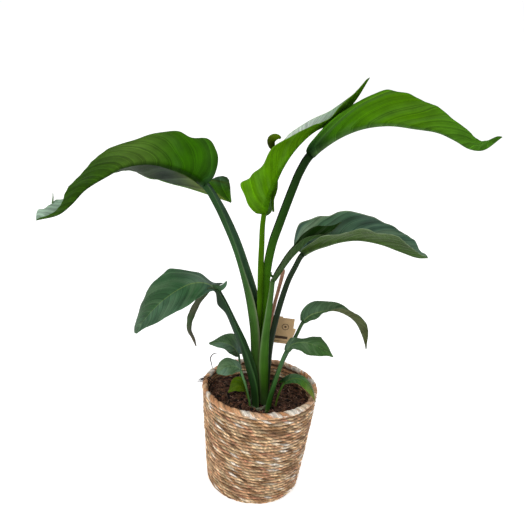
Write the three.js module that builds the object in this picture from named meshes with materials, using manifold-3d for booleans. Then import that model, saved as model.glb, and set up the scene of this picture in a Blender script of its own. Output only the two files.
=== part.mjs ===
// Young white bird of paradise in a coiled seagrass basket.
// Millimetres, +Z up. The origin is the middle of the basket's underside, and the front faces -Y.
// Every leaf with its stalk is one solid. The stalks stand in holes in the soil.

import * as THREE from "three";
import { mergeVertices } from "three/addons/utils/BufferGeometryUtils.js";
import Module from "manifold-3d";

const wasm = await Module();
wasm.setup();

// Clearance between pieces that touch
const GAP = 0.3;

// Basket
const RIM_RADIUS = 100;
const BASE_RADIUS = 79;
const BASKET_HEIGHT = 186;
const BASKET_WALL = 8;
const BASKET_FLOOR = 7;
const BASE_CORNER = 6;
const COIL_ROWS = 28;
const COIL_RELIEF = 1.2;
const RIM_ROLL = 5.2;
const RIM_ANGLES = [-70, -20, 25, 65, 100, 140, 180, 230];
const BASKET_SIDES = 40;

// Liner film and soil
const LINER_WALL = 1;
const LINER_TOP = 156;
const SOIL_EDGE = 158;
const SOIL_CROWN = 164;
const SOIL_BUMP = 1.6;
const SOIL_RINGS = [0.86, 0.66, 0.44, 0.22];
const SOIL_INSET = 0.4;
const SOIL_SIDES = 32;

// Holes for the stalks: their depth along the stalk, and how much wider they are
const HOLE_DEPTH = 60;
const HOLE_STEPS = 5;
const HOLE_GROWTH = 1.3 * GAP;

// Stick and care card
const STICK_RADIUS = 2.5;
const STICK_SIDES = 10;
const STICK_HOLE_GROWTH = 1.2 * GAP;
const STICK_FOOT = [-20, 31, 128];
const STICK_TOP = [18, 20, 397];
const CARD_WIDTH = 52;
const CARD_HEIGHT = 48;
const CARD_THICKNESS = 0.8;
const CARD_CORNER = [-4, 263];
const CARD_LEAN = 2;
const CARD_STEP = 2;

// A leaf's cross-section has seven columns: the midrib and three on either side of it
const COLUMNS = [-3, -2, -1, 0, 1, 2, 3];
const BLADE_THICKNESS = 0.9;
const WING_THICKNESS = 1.3;
const BLADE_MIDDLE = 0.6;
const RIB_HALF_WIDTH = 4;
const RIB_TAPER = 0.6;
const RIB_POWER = 1.5;
const REACH_POWER = 1.5;
const FAR_WAVE_SHIFT = 0.3;
const JOINT_BLEND = 0.015;
const STATION_POWER = 1.15;
const ROUTE_DIVISIONS = 30;

// A stalk's upper side is a channel between two wings, and its back is round.
// Shares of half breadth and channel depth at the four columns of one side:
const CHANNEL_OUT = [0, 0.45, 0.85, 1];
const CHANNEL_UP = [0, 0.06, 0.38, 1];
const BACK_OUT = [0, 0.6, 1, 1];
const BACK_DOWN = [1, 0.8, 0.15, 0];
const BACK_UP = [0, 0, 0.3, 1];

// Width and lift lists are given at these shares of a blade's length: (k / 6) ^ 1.5
const LIST_POWER = 1.5;

// Leaves. side is -1 for the left half of the fan and 1 for the right half.
// stalk is the route of the channel floor from the cut end to the blade, and midrib goes on to the tip.
// breadth, channel, back and turn run from the cut end to the blade in even steps.
// near is the half towards the front and far the other one: width in mm, lift in degrees above level,
// arch is how much a half bends down across its width, reach how far its margin is swept back, and
// bumps are corners or notches of the margin as [share of length, spread, mm].
const LEAVES = [
  {
    "name": "leaf_upper_left",
    "side": -1,
    "color": 0x3f7d2a,
    "stations": [11, 22],
    "stalk": [[-10, -3.5, 132], [-10, -3.5, 165], [-13, -3.5, 215], [-16, -3.5, 265], [-20, -3, 310],
      [-28, -2.5, 352],
      [-40, 0, 396], [-55, 2, 437], [-74, 5, 476], [-92, 8, 508]],
    "midrib": [[-113, 10, 537], [-137, 10, 552], [-168, 10, 562], [-203, 10, 566], [-242, 11, 556],
      [-273, 10, 536], [-305, 8, 511], [-326, 4, 485], [-345, 0, 468], [-375, -5, 459]],
    "breadth": [9, 9.5, 9.5, 8, 7, 6.5, 6],
    "channel": [9, 12, 12, 10, 4, 4, 3],
    "back": [4, 4, 4.5, 7, 8, 7, 6],
    "turn": [0, 0, 0, 15, 25, 20, 0],
    "near": {
      "width": [5, 54, 66, 60, 47, 26, 8],
      "lift": [60, 78, 74, 50, 42, 42, 25],
      "arch": 12,
      "reach": [2, 6, 3, 0, 0, 0, 0],
      "bumps": [[0.13, 0.03, -5], [0.045, 0.02, 3], [0.34, 0.05, -6]]
    },
    "far": {
      "width": [34, 35, 57, 60, 50, 32, 16],
      "lift": [80, -30, -47, -42, -6, 12, 72],
      "arch": 8,
      "reach": [0, 64, 18, 0, 0, 0, 0],
      "bumps": []
    },
    "wave": [1.5, 5, 0.6]
  },
  {
    "name": "leaf_centre",
    "side": 1,
    "color": 0x6fa81c,
    "stations": [9, 22],
    "stalk": [[-3.8, -2, 132], [-4, -2, 170], [-6.5, -2, 215], [-9, -2.4, 262], [-12.5, -2.8, 305],
      [-15, -3.3, 352], [-17, -2, 384], [-19, -1, 417], [-20, 0, 448], [-21, 0, 481]],
    "midrib": [[-20, 0, 501], [-16, 1, 527], [-10, 2, 549], [0, 3, 581], [18, 4, 613], [43, 5, 641],
      [76, 5, 661], [99, 5, 691], [117, 5, 722]],
    "breadth": [3.7, 3.7, 4, 4.5, 4],
    "channel": [3, 3, 3, 3, 3],
    "back": [6, 6, 6, 6.5, 5],
    "turn": [0, 0, 0, 0, 0],
    "near": {
      "width": [4, 30, 30, 29, 25, 17, 1.5],
      "lift": [70, 92, 92, 70, 32, 38, 60],
      "arch": 5,
      "reach": [4, 5, 3, 0, 0, 0, 0],
      "bumps": [[0.13, 0.035, 17], [0.26, 0.06, -8]]
    },
    "far": {
      "width": [6, 34, 42, 32, 17, 15, 1.5],
      "lift": [-20, -24, -6, 30, 58, 70, 75],
      "arch": 5,
      "reach": [6, 18, 6, 0, 0, 0, 0],
      "bumps": []
    },
    "wave": [1, 4, 0]
  },
  {
    "name": "leaf_upper_right",
    "side": 1,
    "color": 0x3c7a22,
    "stations": [12, 21],
    "stalk": [[1, 15, 132], [1, 15, 170], [0, 15.3, 230], [-3, 14, 290], [-7, 12, 349], [-9, 10.3, 386],
      [-7, 9.3, 418], [-3, 8.5, 451], [3, 8, 481], [11, 9, 513], [19, 10, 543], [28, 10, 573]],
    "midrib": [[41, 10, 600], [64, 10, 623], [92, 10, 642], [121, 10, 654], [158, 10, 660], [196, 8, 658],
      [231, 5, 655], [257, 0, 646], [280, -5, 636], [298, -8, 637], [320, -12, 658]],
    "breadth": [5.5, 5.5, 5.5, 6, 6, 5.5, 5],
    "channel": [4, 4, 4, 4, 4, 3.5, 3],
    "back": [8, 8, 8, 8.5, 8, 7.5, 7],
    "turn": [0, 0, 0, 0, 0, 0, 0],
    "near": {
      "width": [5, 21, 42, 56, 49, 27, 7],
      "lift": [60, 45, 48, 64, 68, 64, 60],
      "arch": 8,
      "reach": [2, 3, 1, 0, 0, 0, 0],
      "bumps": [[0.4, 0.04, 5]]
    },
    "far": {
      "width": [5, 15, 30, 56, 56, 36, 5],
      "lift": [50, 45, 40, 34, 28, 30, 45],
      "arch": 8,
      "reach": [2, 4, 2, 0, 0, 0, 0],
      "bumps": []
    },
    "wave": [1.2, 5, 1]
  },
  {
    "name": "leaf_mid_right",
    "side": 1,
    "color": 0x2f5a36,
    "stations": [10, 17],
    "stalk": [[9, 2, 132], [9.5, 2, 175], [10, 3, 225], [12, 3, 270], [15, 4, 305], [21, 5, 350],
      [28, 5, 388], [37, 5, 413]],
    "midrib": [[47, 5, 436], [64, 5, 449], [82, 5, 457], [105, 5, 466], [133, 5, 471], [169, 5, 467],
      [201, 3, 458], [230, 0, 451], [246, -2, 453]],
    "breadth": [4.2, 4.2, 4.5, 4.5, 4.5, 4],
    "channel": [3, 3, 3, 3, 2.5, 2.5],
    "back": [6, 6, 6.5, 6.5, 6, 5],
    "turn": [0, 0, 0, 0, 0, 0],
    "near": {
      "width": [5, 20, 39, 45, 46, 38, 4],
      "lift": [50, 42, 40, 38, 42, 46, 55],
      "arch": 10,
      "reach": [0, 0, 0, 0, 0, 0, 0],
      "bumps": []
    },
    "far": {
      "width": [10, 32, 47, 48, 45, 36, 6],
      "lift": [85, 70, 54, 50, 46, 42, 55],
      "arch": 12,
      "reach": [6, 4, 2, 0, 0, 0, 0],
      "bumps": []
    },
    "wave": [2.5, 4, 0.5]
  },
  {
    "name": "leaf_strap_right",
    "side": 1,
    "color": 0x4c8a3c,
    "stations": [11, 11],
    "stalk": [[10, -13.4, 132], [10, -13.4, 178], [7, -13.4, 229], [4.8, -13.4, 259], [2.5, -13.5, 295],
      [2.2, -14, 335], [3.8, -15, 376]],
    "midrib": [[5, -18, 396], [10, -20, 411], [18, -24, 429], [29, -28, 449], [39, -30, 467], [51, -27, 477],
      [67, -20, 483], [86, -14, 490], [102, -10, 499]],
    "breadth": [5, 5, 5, 5, 4.5, 3.2],
    "channel": [9, 10, 12, 10, 8, 4],
    "back": [4, 4, 4, 4, 4, 3.5],
    "turn": [0, 0, 0, 0, 0, 0],
    "near": {
      "width": [3, 3, 3.5, 9, 17, 13, 1.5],
      "lift": [50, 50, 55, 60, 60, 55, 50],
      "arch": 5,
      "reach": [0, 0, 0, 0, 0, 0, 0],
      "bumps": []
    },
    "far": {
      "width": [3, 4, 5, 8, 11, 9, 1.5],
      "lift": [50, 50, 50, 55, 60, 60, 50],
      "arch": 5,
      "reach": [0, 0, 0, 0, 0, 0, 0],
      "bumps": []
    },
    "wave": [0, 1, 0]
  },
  {
    "name": "leaf_mid_left",
    "side": -1,
    "color": 0x35613f,
    "stations": [10, 17],
    "stalk": [[-5, -26, 132], [-5, -26, 165], [-11, -26, 204], [-22, -25, 241], [-34, -24, 278],
      [-48, -23, 311], [-63, -21, 342], [-75, -20, 361]],
    "midrib": [[-85, -20, 374], [-103, -22, 383], [-124, -26, 382], [-145, -33, 372], [-167, -41, 355],
      [-186, -48, 334], [-204, -57, 304]],
    "breadth": [5.5, 6, 6, 5.5, 4.5, 4],
    "channel": [4, 6, 8, 5, 3, 2],
    "back": [6, 6, 6, 6, 6, 5],
    "turn": [0, 0, 15, 15, 0, 0],
    "near": {
      "width": [5, 14, 28, 37, 36, 28, 8],
      "lift": [10, -25, -30, -32, -32, -30, -20],
      "arch": 4,
      "reach": [2, 1, 1, 0, 0, 0, 0],
      "bumps": []
    },
    "far": {
      "width": [16, 14, 31, 50, 52, 47, 16],
      "lift": [75, 0, 8, 25, 26, 22, 10],
      "arch": 8,
      "reach": [18, 6, 2, 0, 0, 0, 0],
      "bumps": [[0.5, 0.06, -4]]
    },
    "wave": [1.5, 3, 0.4]
  },
  {
    "name": "leaf_low_right",
    "side": 1,
    "color": 0x3a6238,
    "stations": [8, 15],
    "stalk": [[17, -23, 132], [17.5, -23, 170], [21, -23, 200], [26, -22, 226], [32, -20, 250],
      [41, -17, 275],
      [51, -12, 299]],
    "midrib": [[60, -8, 322], [70, -7, 335], [84, -8, 343], [108, -9, 350], [128, -12, 346], [145, -15, 335],
      [158, -18, 314], [165, -21, 297], [167, -22, 290]],
    "breadth": [4, 4, 4, 3.5, 3],
    "channel": [3, 4, 3, 2, 2],
    "back": [4, 4.5, 4, 3.5, 3],
    "turn": [0, 0, 0, 0, 0],
    "near": {
      "width": [4, 10, 11, 12, 14, 15, 1.5],
      "lift": [0, -45, -40, 30, 60, 60, 50],
      "arch": 4,
      "reach": [2, 1, 0, 0, 0, 0, 0],
      "bumps": []
    },
    "far": {
      "width": [4, 15, 22, 16, 11, 15, 1.5],
      "lift": [30, 45, 38, 35, 50, 60, 50],
      "arch": 10,
      "reach": [4, 3, 1, 0, 0, 0, 0],
      "bumps": []
    },
    "wave": [0.8, 2, 0]
  },
  {
    "name": "leaf_low_right_front",
    "side": 1,
    "color": 0x3a6b3c,
    "stations": [8, 12],
    "stalk": [[15, -34, 132], [15.5, -34, 165], [18, -34, 190], [23, -33, 217], [28, -32, 243],
      [32, -31, 262]],
    "midrib": [[37, -31, 277], [45, -34, 293], [62, -38, 301], [82, -42, 300], [100, -46, 293],
      [113, -50, 286]],
    "breadth": [3, 3.5, 3.5, 3, 2.5],
    "channel": [3, 4, 3, 2, 2],
    "back": [4, 4, 4, 4, 3],
    "turn": [0, 0, 0, 0, 0],
    "near": {
      "width": [3, 7, 10, 14, 20, 16, 1.5],
      "lift": [10, -30, -36, -40, -42, -34, -20],
      "arch": 4,
      "reach": [1, 1, 0, 0, 0, 0, 0],
      "bumps": []
    },
    "far": {
      "width": [3, 9, 12, 14, 19, 21, 1.5],
      "lift": [40, 30, 22, 18, 18, 15, 10],
      "arch": 6,
      "reach": [3, 2, 1, 0, 0, 0, 0],
      "bumps": []
    },
    "wave": [0.8, 2, 0]
  },
  {
    "name": "leaf_rim_right",
    "side": 1,
    "color": 0x54832e,
    "stations": [6, 11],
    "stalk": [[28, -20, 132], [28.5, -20, 165], [31, -20, 184], [35, -20, 200]],
    "midrib": [[40, -20, 211], [53, -21, 222], [66, -23, 223], [77, -27, 217], [86, -31, 208],
      [92, -34, 197]],
    "breadth": [1.8, 1.8, 1.8],
    "channel": [1, 1, 1.5],
    "back": [2, 2, 2],
    "turn": [0, 0, 0],
    "near": {
      "width": [2, 6, 10, 12, 12, 9, 1.2],
      "lift": [10, -20, -28, -28, -28, -25, -10],
      "arch": 4,
      "reach": [3, 2, 1, 0, 0, 0, 0],
      "bumps": []
    },
    "far": {
      "width": [2, 9, 11, 10, 10, 9, 1.2],
      "lift": [30, 25, 20, 15, 15, 15, 10],
      "arch": 6,
      "reach": [10, 7, 3, 0, 0, 0, 0],
      "bumps": []
    },
    "wave": [0.5, 2, 0]
  },
  {
    "name": "leaf_low_left_back",
    "side": -1,
    "color": 0x3a6640,
    "stations": [6, 12],
    "stalk": [[-28, 18, 132], [-29, 18, 168], [-34, 18, 195], [-39, 18, 218]],
    "midrib": [[-42, 17, 236], [-52, 14, 252], [-68, 8, 262], [-93, 2, 261]],
    "breadth": [1.8, 1.8, 1.8],
    "channel": [1, 1, 1.5],
    "back": [2, 2, 2],
    "turn": [0, 0, 0],
    "near": {
      "width": [2, 9, 13, 13, 13, 9, 2],
      "lift": [0, -20, -25, -25, -20, -10, 0],
      "arch": 6,
      "reach": [3, 2, 1, 0, 0, 0, 0],
      "bumps": []
    },
    "far": {
      "width": [6, 22, 28, 25, 18, 11, 2],
      "lift": [30, 30, 26, 22, 20, 15, 10],
      "arch": 6,
      "reach": [8, 6, 2, 0, 0, 0, 0],
      "bumps": []
    },
    "wave": [1, 2, 0]
  },
  {
    "name": "leaf_low_left_front",
    "side": -1,
    "color": 0x3b6b45,
    "stations": [7, 12],
    "stalk": [[-14, -27, 132], [-14.5, -27, 165], [-19, -28, 186], [-24, -31, 205], [-30, -34, 223]],
    "midrib": [[-35, -36, 237], [-43, -39, 245], [-56, -44, 247], [-73, -50, 236]],
    "breadth": [1.8, 1.8, 1.8],
    "channel": [1, 1, 1.5],
    "back": [2, 2, 2],
    "turn": [0, 0, 0],
    "near": {
      "width": [2, 6, 10, 14, 16, 15, 4],
      "lift": [0, -25, -32, -32, -30, -25, -10],
      "arch": 6,
      "reach": [0, 0, 0, 0, 0, 0, 0],
      "bumps": []
    },
    "far": {
      "width": [2, 7, 11, 14, 17, 17, 5],
      "lift": [30, 30, 26, 22, 20, 15, 10],
      "arch": 6,
      "reach": [2, 1, 1, 0, 0, 0, 0],
      "bumps": []
    },
    "wave": [0.6, 2, 0]
  },
  {
    "name": "leaf_low_left_small",
    "side": -1,
    "color": 0x7f9a2c,
    "stations": [5, 9],
    "stalk": [[-20, -3, 132], [-20.5, -3, 165]],
    "midrib": [[-25, -3, 180], [-33, -6, 188], [-43, -9, 188], [-54, -13, 178]],
    "breadth": [1.6, 1.6],
    "channel": [1, 1],
    "back": [1.8, 1.8],
    "turn": [0, 0],
    "near": {
      "width": [2, 6, 8, 10, 10, 7, 1.2],
      "lift": [0, -20, -30, -30, -30, -20, -10],
      "arch": 4,
      "reach": [0, 0, 0, 0, 0, 0, 0],
      "bumps": []
    },
    "far": {
      "width": [2, 7, 12, 16, 16, 10, 1.2],
      "lift": [40, 45, 45, 40, 30, 20, 10],
      "arch": 6,
      "reach": [0, 0, 0, 0, 0, 0, 0],
      "bumps": []
    },
    "wave": [0.3, 2, 0]
  }
];

// Torn strip that hangs from the base of the left middle blade
const TORN_STRIP = {
  "route": [[-80, -22, 373], [-93, -27, 371], [-104, -30, 361], [-114, -31, 344], [-122, -31, 324],
    [-125, -30, 305], [-122, -29, 288], [-111, -28, 268]],
  "width": [5, 6, 6, 5.5, 4.5, 3.5, 1],
  "thickness": 1.4,
  "tilt": 65,
  "stations": 14
};

// Value at share u of a list given in even steps, on a smooth curve
function along(list, u) {
  const last = list.length - 1;
  const place = THREE.MathUtils.clamp(u, 0, 1) * last;
  const i = Math.min(Math.floor(place), last - 1);
  const f = place - i;
  const a = list[Math.max(i - 1, 0)];
  const b = list[i];
  const c = list[i + 1];
  const d = list[Math.min(i + 2, last)];
  return b + 0.5 * f * (c - a + f * (2 * a - 5 * b + 4 * c - d + f * (3 * (b - c) + d - a)));
}

// Smooth curve through points, with the length where the stalk ends
function route(leaf) {
  const points = [...leaf.stalk, ...leaf.midrib].map((p) => new THREE.Vector3(...p));
  const curve = new THREE.CatmullRomCurve3(points, false, "centripetal");
  const pieces = ROUTE_DIVISIONS * (points.length - 1);
  curve.arcLengthDivisions = pieces;
  const lengths = curve.getLengths(pieces);
  const joint = lengths[ROUTE_DIVISIONS * leaf.stalk.length] / lengths[pieces];
  return { curve, joint };
}

// Place and directions on the route: tangent t, near direction s, upper direction n
function frameAt(curve, share, side) {
  const p = curve.getPointAt(share);
  const t = curve.getTangentAt(share);
  const s = new THREE.Vector3(0, -1, 0);
  s.addScaledVector(t, -s.dot(t)).normalize();
  const n = new THREE.Vector3().crossVectors(s, t).multiplyScalar(side);
  return { p, t, s, n };
}

// Cross-section of a stalk: points of the upper and the lower side as [across, up, along]
function stalkSection(leaf, u, grow = 0) {
  const b = along(leaf.breadth, u);
  const d = along(leaf.channel, u) + grow;
  const t = along(leaf.back, u) + grow;
  const turn = THREE.MathUtils.degToRad(along(leaf.turn, u));
  const outer = b + WING_THICKNESS + grow;
  const rolled = (x, y) => [
    x * Math.cos(turn) + y * Math.sin(turn),
    y * Math.cos(turn) - x * Math.sin(turn),
    0
  ];
  const upper = COLUMNS.map((k) => {
    const j = Math.abs(k);
    return rolled(-Math.sign(k) * b * CHANNEL_OUT[j], d * CHANNEL_UP[j]);
  });
  const lower = COLUMNS.map((k) => {
    const j = Math.abs(k);
    return rolled(-Math.sign(k) * outer * BACK_OUT[j], d * BACK_UP[j] - t * BACK_DOWN[j]);
  });
  return { upper, lower };
}

// Extra width at share f of the length
function bumpAt(half, f) {
  return half.bumps.reduce((sum, [place, spread, size]) => {
    const offset = (f - place) / spread;
    return sum + size * Math.exp(-offset * offset);
  }, 0);
}

// Cross-section of a blade at share f of its length
function bladeSection(leaf, f) {
  const u = Math.pow(f, 1 / LIST_POWER);
  const rib = along(leaf.back, 1) * Math.pow(1 - f, RIB_POWER) + BLADE_THICKNESS;
  const ribHalf = RIB_HALF_WIDTH * (1 - RIB_TAPER * f);
  const upper = [];
  const lower = [];
  for (const k of COLUMNS) {
    const half = k < 0 ? leaf.near : leaf.far;
    const sign = k < 0 ? 1 : -1;
    const width = along(half.width, u) + bumpAt(half, f);
    const j = Math.abs(k);
    const c = [0, Math.min(ribHalf / width, 0.4), BLADE_MIDDLE, 1][j];
    const arch = THREE.MathUtils.degToRad(half.arch) + 1e-4;
    const lift = THREE.MathUtils.degToRad(along(half.lift, u));
    const start = lift + arch;
    const angle = lift + arch * (1 - 2 * c);
    const out = width * (Math.sin(start) - Math.sin(angle)) / (2 * arch);
    const up = width * (Math.cos(angle) - Math.cos(start)) / (2 * arch);
    const [size, count, phase] = leaf.wave;
    const shift = k > 0 ? FAR_WAVE_SHIFT : 0;
    const wave = size * Math.sin(2 * Math.PI * (count * f + phase + shift));
    const lifted = wave * c * c * Math.sin(Math.PI * f);
    const back = along(half.reach, u) * Math.pow(c, REACH_POWER);
    const normal = k === 0 ? [0, 1] : [-sign * Math.sin(angle), Math.cos(angle)];
    const thickness = k === 0 ? rib : BLADE_THICKNESS;
    const x = sign * out + lifted * normal[0];
    const y = up + lifted * normal[1];
    upper.push([x, y, -back]);
    lower.push([x - thickness * normal[0], y - thickness * normal[1], -back]);
  }
  return { upper, lower };
}

// Closed skin over matching rows of upper and lower points, split alike on both faces
function sheetGeometry(upper, lower, flip) {
  const rows = upper.length;
  const columns = upper[0].length;
  const position = [...upper, ...lower].flat().flatMap((v) => [v.x, v.y, v.z]);
  const up = (i, k) => i * columns + k;
  const low = (i, k) => (rows + i) * columns + k;
  const index = [];
  // The diagonal runs from a to c, whichever way round the corners are named
  const quad = (a, b, c, d) => {
    if (flip) {
      index.push(a, c, b, a, d, c);
    } else {
      index.push(a, b, c, a, c, d);
    }
  };
  for (let i = 0; i < rows - 1; i += 1) {
    for (let k = 0; k < columns - 1; k += 1) {
      quad(up(i, k), up(i + 1, k), up(i + 1, k + 1), up(i, k + 1));
      quad(low(i, k), low(i, k + 1), low(i + 1, k + 1), low(i + 1, k));
    }
    quad(up(i, 0), low(i, 0), low(i + 1, 0), up(i + 1, 0));
    quad(up(i, columns - 1), up(i + 1, columns - 1), low(i + 1, columns - 1), low(i, columns - 1));
  }
  for (let k = 0; k < columns - 1; k += 1) {
    quad(up(0, k), up(0, k + 1), low(0, k + 1), low(0, k));
    quad(up(rows - 1, k), low(rows - 1, k), low(rows - 1, k + 1), up(rows - 1, k + 1));
  }
  const geometry = new THREE.BufferGeometry();
  geometry.setAttribute("position", new THREE.Float32BufferAttribute(position, 3));
  geometry.setIndex(index);
  return geometry;
}

// Section points [across, up, along] as places in the frame of a station
function placed(frame, points) {
  return points.map(([x, y, z]) => frame.p.clone()
    .addScaledVector(frame.s, x)
    .addScaledVector(frame.n, y)
    .addScaledVector(frame.t, z));
}

function mixed(a, b, share) {
  return a.map((p, k) => p.map((value, axis) => THREE.MathUtils.lerp(value, b[k][axis], share)));
}

function leafGeometry(leaf) {
  const { curve, joint } = route(leaf);
  const [stalkRows, bladeRows] = leaf.stations;
  const upper = [];
  const lower = [];
  const add = (share, section) => {
    const frame = frameAt(curve, share, leaf.side);
    upper.push(placed(frame, section.upper));
    lower.push(placed(frame, section.lower));
  };
  for (let i = 0; i < stalkRows; i += 1) {
    const u = i / stalkRows;
    add(u * joint, stalkSection(leaf, u));
  }
  const top = stalkSection(leaf, 1);
  for (let i = 0; i <= bladeRows; i += 1) {
    const even = i / bladeRows;
    const f = Math.pow(0.5 * even + 0.25 * (1 - Math.cos(Math.PI * even)), STATION_POWER);
    const blade = bladeSection(leaf, f);
    const share = THREE.MathUtils.smoothstep(f, 0, JOINT_BLEND);
    add(joint + f * (1 - joint), {
      upper: mixed(top.upper, blade.upper, share),
      lower: mixed(top.lower, blade.lower, share)
    });
  }
  return sheetGeometry(upper, lower, leaf.side < 0);
}

// Solid that a stalk's hole in the soil has, a little larger than the stalk all round
function holeGeometry(leaf) {
  const { curve, joint } = route(leaf);
  const length = curve.getLength();
  const outline = [];
  for (let i = 0; i <= HOLE_STEPS; i += 1) {
    const u = i / HOLE_STEPS * HOLE_DEPTH / (length * joint);
    const frame = frameAt(curve, u * joint, leaf.side);
    if (i === 0) {
      frame.p.addScaledVector(frame.t, -GAP);
    }
    outline.push(placed(frame, stalkSection(leaf, u, HOLE_GROWTH).lower));
  }
  const position = outline.flat().flatMap((v) => [v.x, v.y, v.z]);
  const index = [];
  const sides = COLUMNS.length;
  const rows = outline.length;
  const add = (a, b, c) => {
    if (leaf.side < 0) {
      index.push(a, c, b);
    } else {
      index.push(a, b, c);
    }
  };
  for (let i = 0; i < rows - 1; i += 1) {
    for (let k = 0; k < sides; k += 1) {
      const a = i * sides + k;
      const b = i * sides + (k + 1) % sides;
      add(a, b, b + sides);
      add(a, b + sides, a + sides);
    }
  }
  for (let k = 1; k < sides - 1; k += 1) {
    const end = (rows - 1) * sides;
    add(0, k + 1, k);
    add(end, end + k, end + k + 1);
  }
  const geometry = new THREE.BufferGeometry();
  geometry.setAttribute("position", new THREE.Float32BufferAttribute(position, 3));
  geometry.setIndex(index);
  return geometry;
}

// Body turned round the Z axis from a profile of [radius, height] points
function turned(profile, sides) {
  const points = profile.map(([r, z]) => new THREE.Vector2(r, z));
  const geometry = new THREE.LatheGeometry(points, sides);
  geometry.rotateX(Math.PI / 2);
  return geometry;
}

function toSolid(geometry) {
  const bare = geometry.clone();
  bare.deleteAttribute("normal");
  bare.deleteAttribute("uv");
  const merged = mergeVertices(bare, 1e-4);
  const index = [];
  for (let i = 0; i < merged.index.count; i += 3) {
    const [a, b, c] = [0, 1, 2].map((k) => merged.index.getX(i + k));
    if (a !== b && b !== c && c !== a) {
      index.push(a, b, c);
    }
  }
  const mesh = new wasm.Mesh({
    numProp: 3,
    vertProperties: new Float32Array(merged.attributes.position.array),
    triVerts: new Uint32Array(index)
  });
  return new wasm.Manifold(mesh);
}

// The largest body of a solid, as a geometry
function toGeometry(solid) {
  const bodies = solid.decompose();
  bodies.sort((a, b) => b.volume() - a.volume());
  const mesh = bodies[0].getMesh();
  const geometry = new THREE.BufferGeometry();
  geometry.setAttribute("position", new THREE.BufferAttribute(new Float32Array(mesh.vertProperties), 3));
  geometry.setIndex(new THREE.BufferAttribute(new Uint32Array(mesh.triVerts), 1));
  return geometry;
}

const outerRadius = (z) => THREE.MathUtils.lerp(BASE_RADIUS, RIM_RADIUS, z / BASKET_HEIGHT);
const innerRadius = (z) => outerRadius(z) - BASKET_WALL;

// Basket: coiled rows outside, a thicker rolled rim, a plain wall inside
function basketGeometry() {
  const profile = [[0, 0], [BASE_RADIUS - BASE_CORNER, 0]];
  const rimFoot = BASKET_HEIGHT - 2 * RIM_ROLL;
  const pitch = (rimFoot - BASE_CORNER) / COIL_ROWS;
  for (let row = 0; row < COIL_ROWS; row += 1) {
    const z = BASE_CORNER + row * pitch;
    profile.push([outerRadius(z) - COIL_RELIEF, z]);
    profile.push([outerRadius(z + pitch / 2), z + pitch / 2]);
  }
  for (const degrees of RIM_ANGLES) {
    const angle = THREE.MathUtils.degToRad(degrees);
    profile.push([
      RIM_RADIUS - RIM_ROLL * (1 - Math.cos(angle)),
      BASKET_HEIGHT - RIM_ROLL * (1 - Math.sin(angle))
    ]);
  }
  profile.push([innerRadius(LINER_TOP), LINER_TOP], [innerRadius(BASKET_FLOOR), BASKET_FLOOR]);
  profile.push([0, BASKET_FLOOR]);
  return turned(profile, BASKET_SIDES);
}

// Liner: a thin film over the floor and the wall of the basket
function linerGeometry() {
  const floor = BASKET_FLOOR + GAP;
  const outer = (z) => innerRadius(z) - GAP;
  return turned([
    [0, floor],
    [outer(floor), floor],
    [outer(LINER_TOP), LINER_TOP],
    [outer(LINER_TOP) - LINER_WALL, LINER_TOP],
    [outer(floor) - LINER_WALL, floor + LINER_WALL],
    [0, floor + LINER_WALL]
  ], BASKET_SIDES);
}

// Small repeatable random numbers
function seeded(seed) {
  let state = seed;
  return () => {
    state = (state * 16807) % 2147483647;
    return state / 2147483647;
  };
}

// Soil: a filled cone with a lumpy, slightly raised top, and a hole for every stalk and the stick
function soilGeometry() {
  const floor = BASKET_FLOOR + LINER_WALL + 2 * GAP;
  const outer = (z) => innerRadius(z) - LINER_WALL - 2 * GAP - SOIL_INSET;
  const edge = outer(SOIL_EDGE);
  const height = (share) => SOIL_CROWN - (SOIL_CROWN - SOIL_EDGE) * share * share;
  const profile = [[0, floor], [outer(floor), floor], [edge, SOIL_EDGE]];
  for (const share of SOIL_RINGS) {
    profile.push([share * edge, height(share)]);
  }
  profile.push([0, SOIL_CROWN]);
  const geometry = turned(profile, SOIL_SIDES);
  const random = seeded(11);
  const bumps = new Map();
  const position = geometry.attributes.position;
  for (let i = 0; i < position.count; i += 1) {
    const [x, y, z] = [position.getX(i), position.getY(i), position.getZ(i)];
    const key = `${Math.round(100 * x)} ${Math.round(100 * y)}`;
    if (z > SOIL_EDGE + 0.1) {
      if (!bumps.has(key)) {
        bumps.set(key, SOIL_BUMP * (2 * random() - 1));
      }
      position.setZ(i, z + bumps.get(key));
    }
  }
  let solid = toSolid(geometry);
  for (const leaf of LEAVES) {
    solid = solid.subtract(toSolid(holeGeometry(leaf)));
  }
  return toGeometry(solid.subtract(toSolid(stickGeometry(STICK_HOLE_GROWTH))));
}

// Stick, pushed into the soil and leaning to the right. With growth it is its own hole.
function stickGeometry(growth) {
  const foot = new THREE.Vector3(...STICK_FOOT);
  const top = new THREE.Vector3(...STICK_TOP);
  const lean = top.clone().sub(foot).normalize();
  foot.addScaledVector(lean, -growth);
  const length = foot.distanceTo(top);
  const radius = STICK_RADIUS + growth;
  const geometry = new THREE.CylinderGeometry(radius, radius, length, STICK_SIDES);
  const turn = new THREE.Quaternion().setFromUnitVectors(new THREE.Vector3(0, 1, 0), lean);
  geometry.applyQuaternion(turn);
  const middle = foot.clone().add(top).multiplyScalar(0.5);
  geometry.translate(middle.x, middle.y, middle.z);
  return geometry;
}

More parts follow.
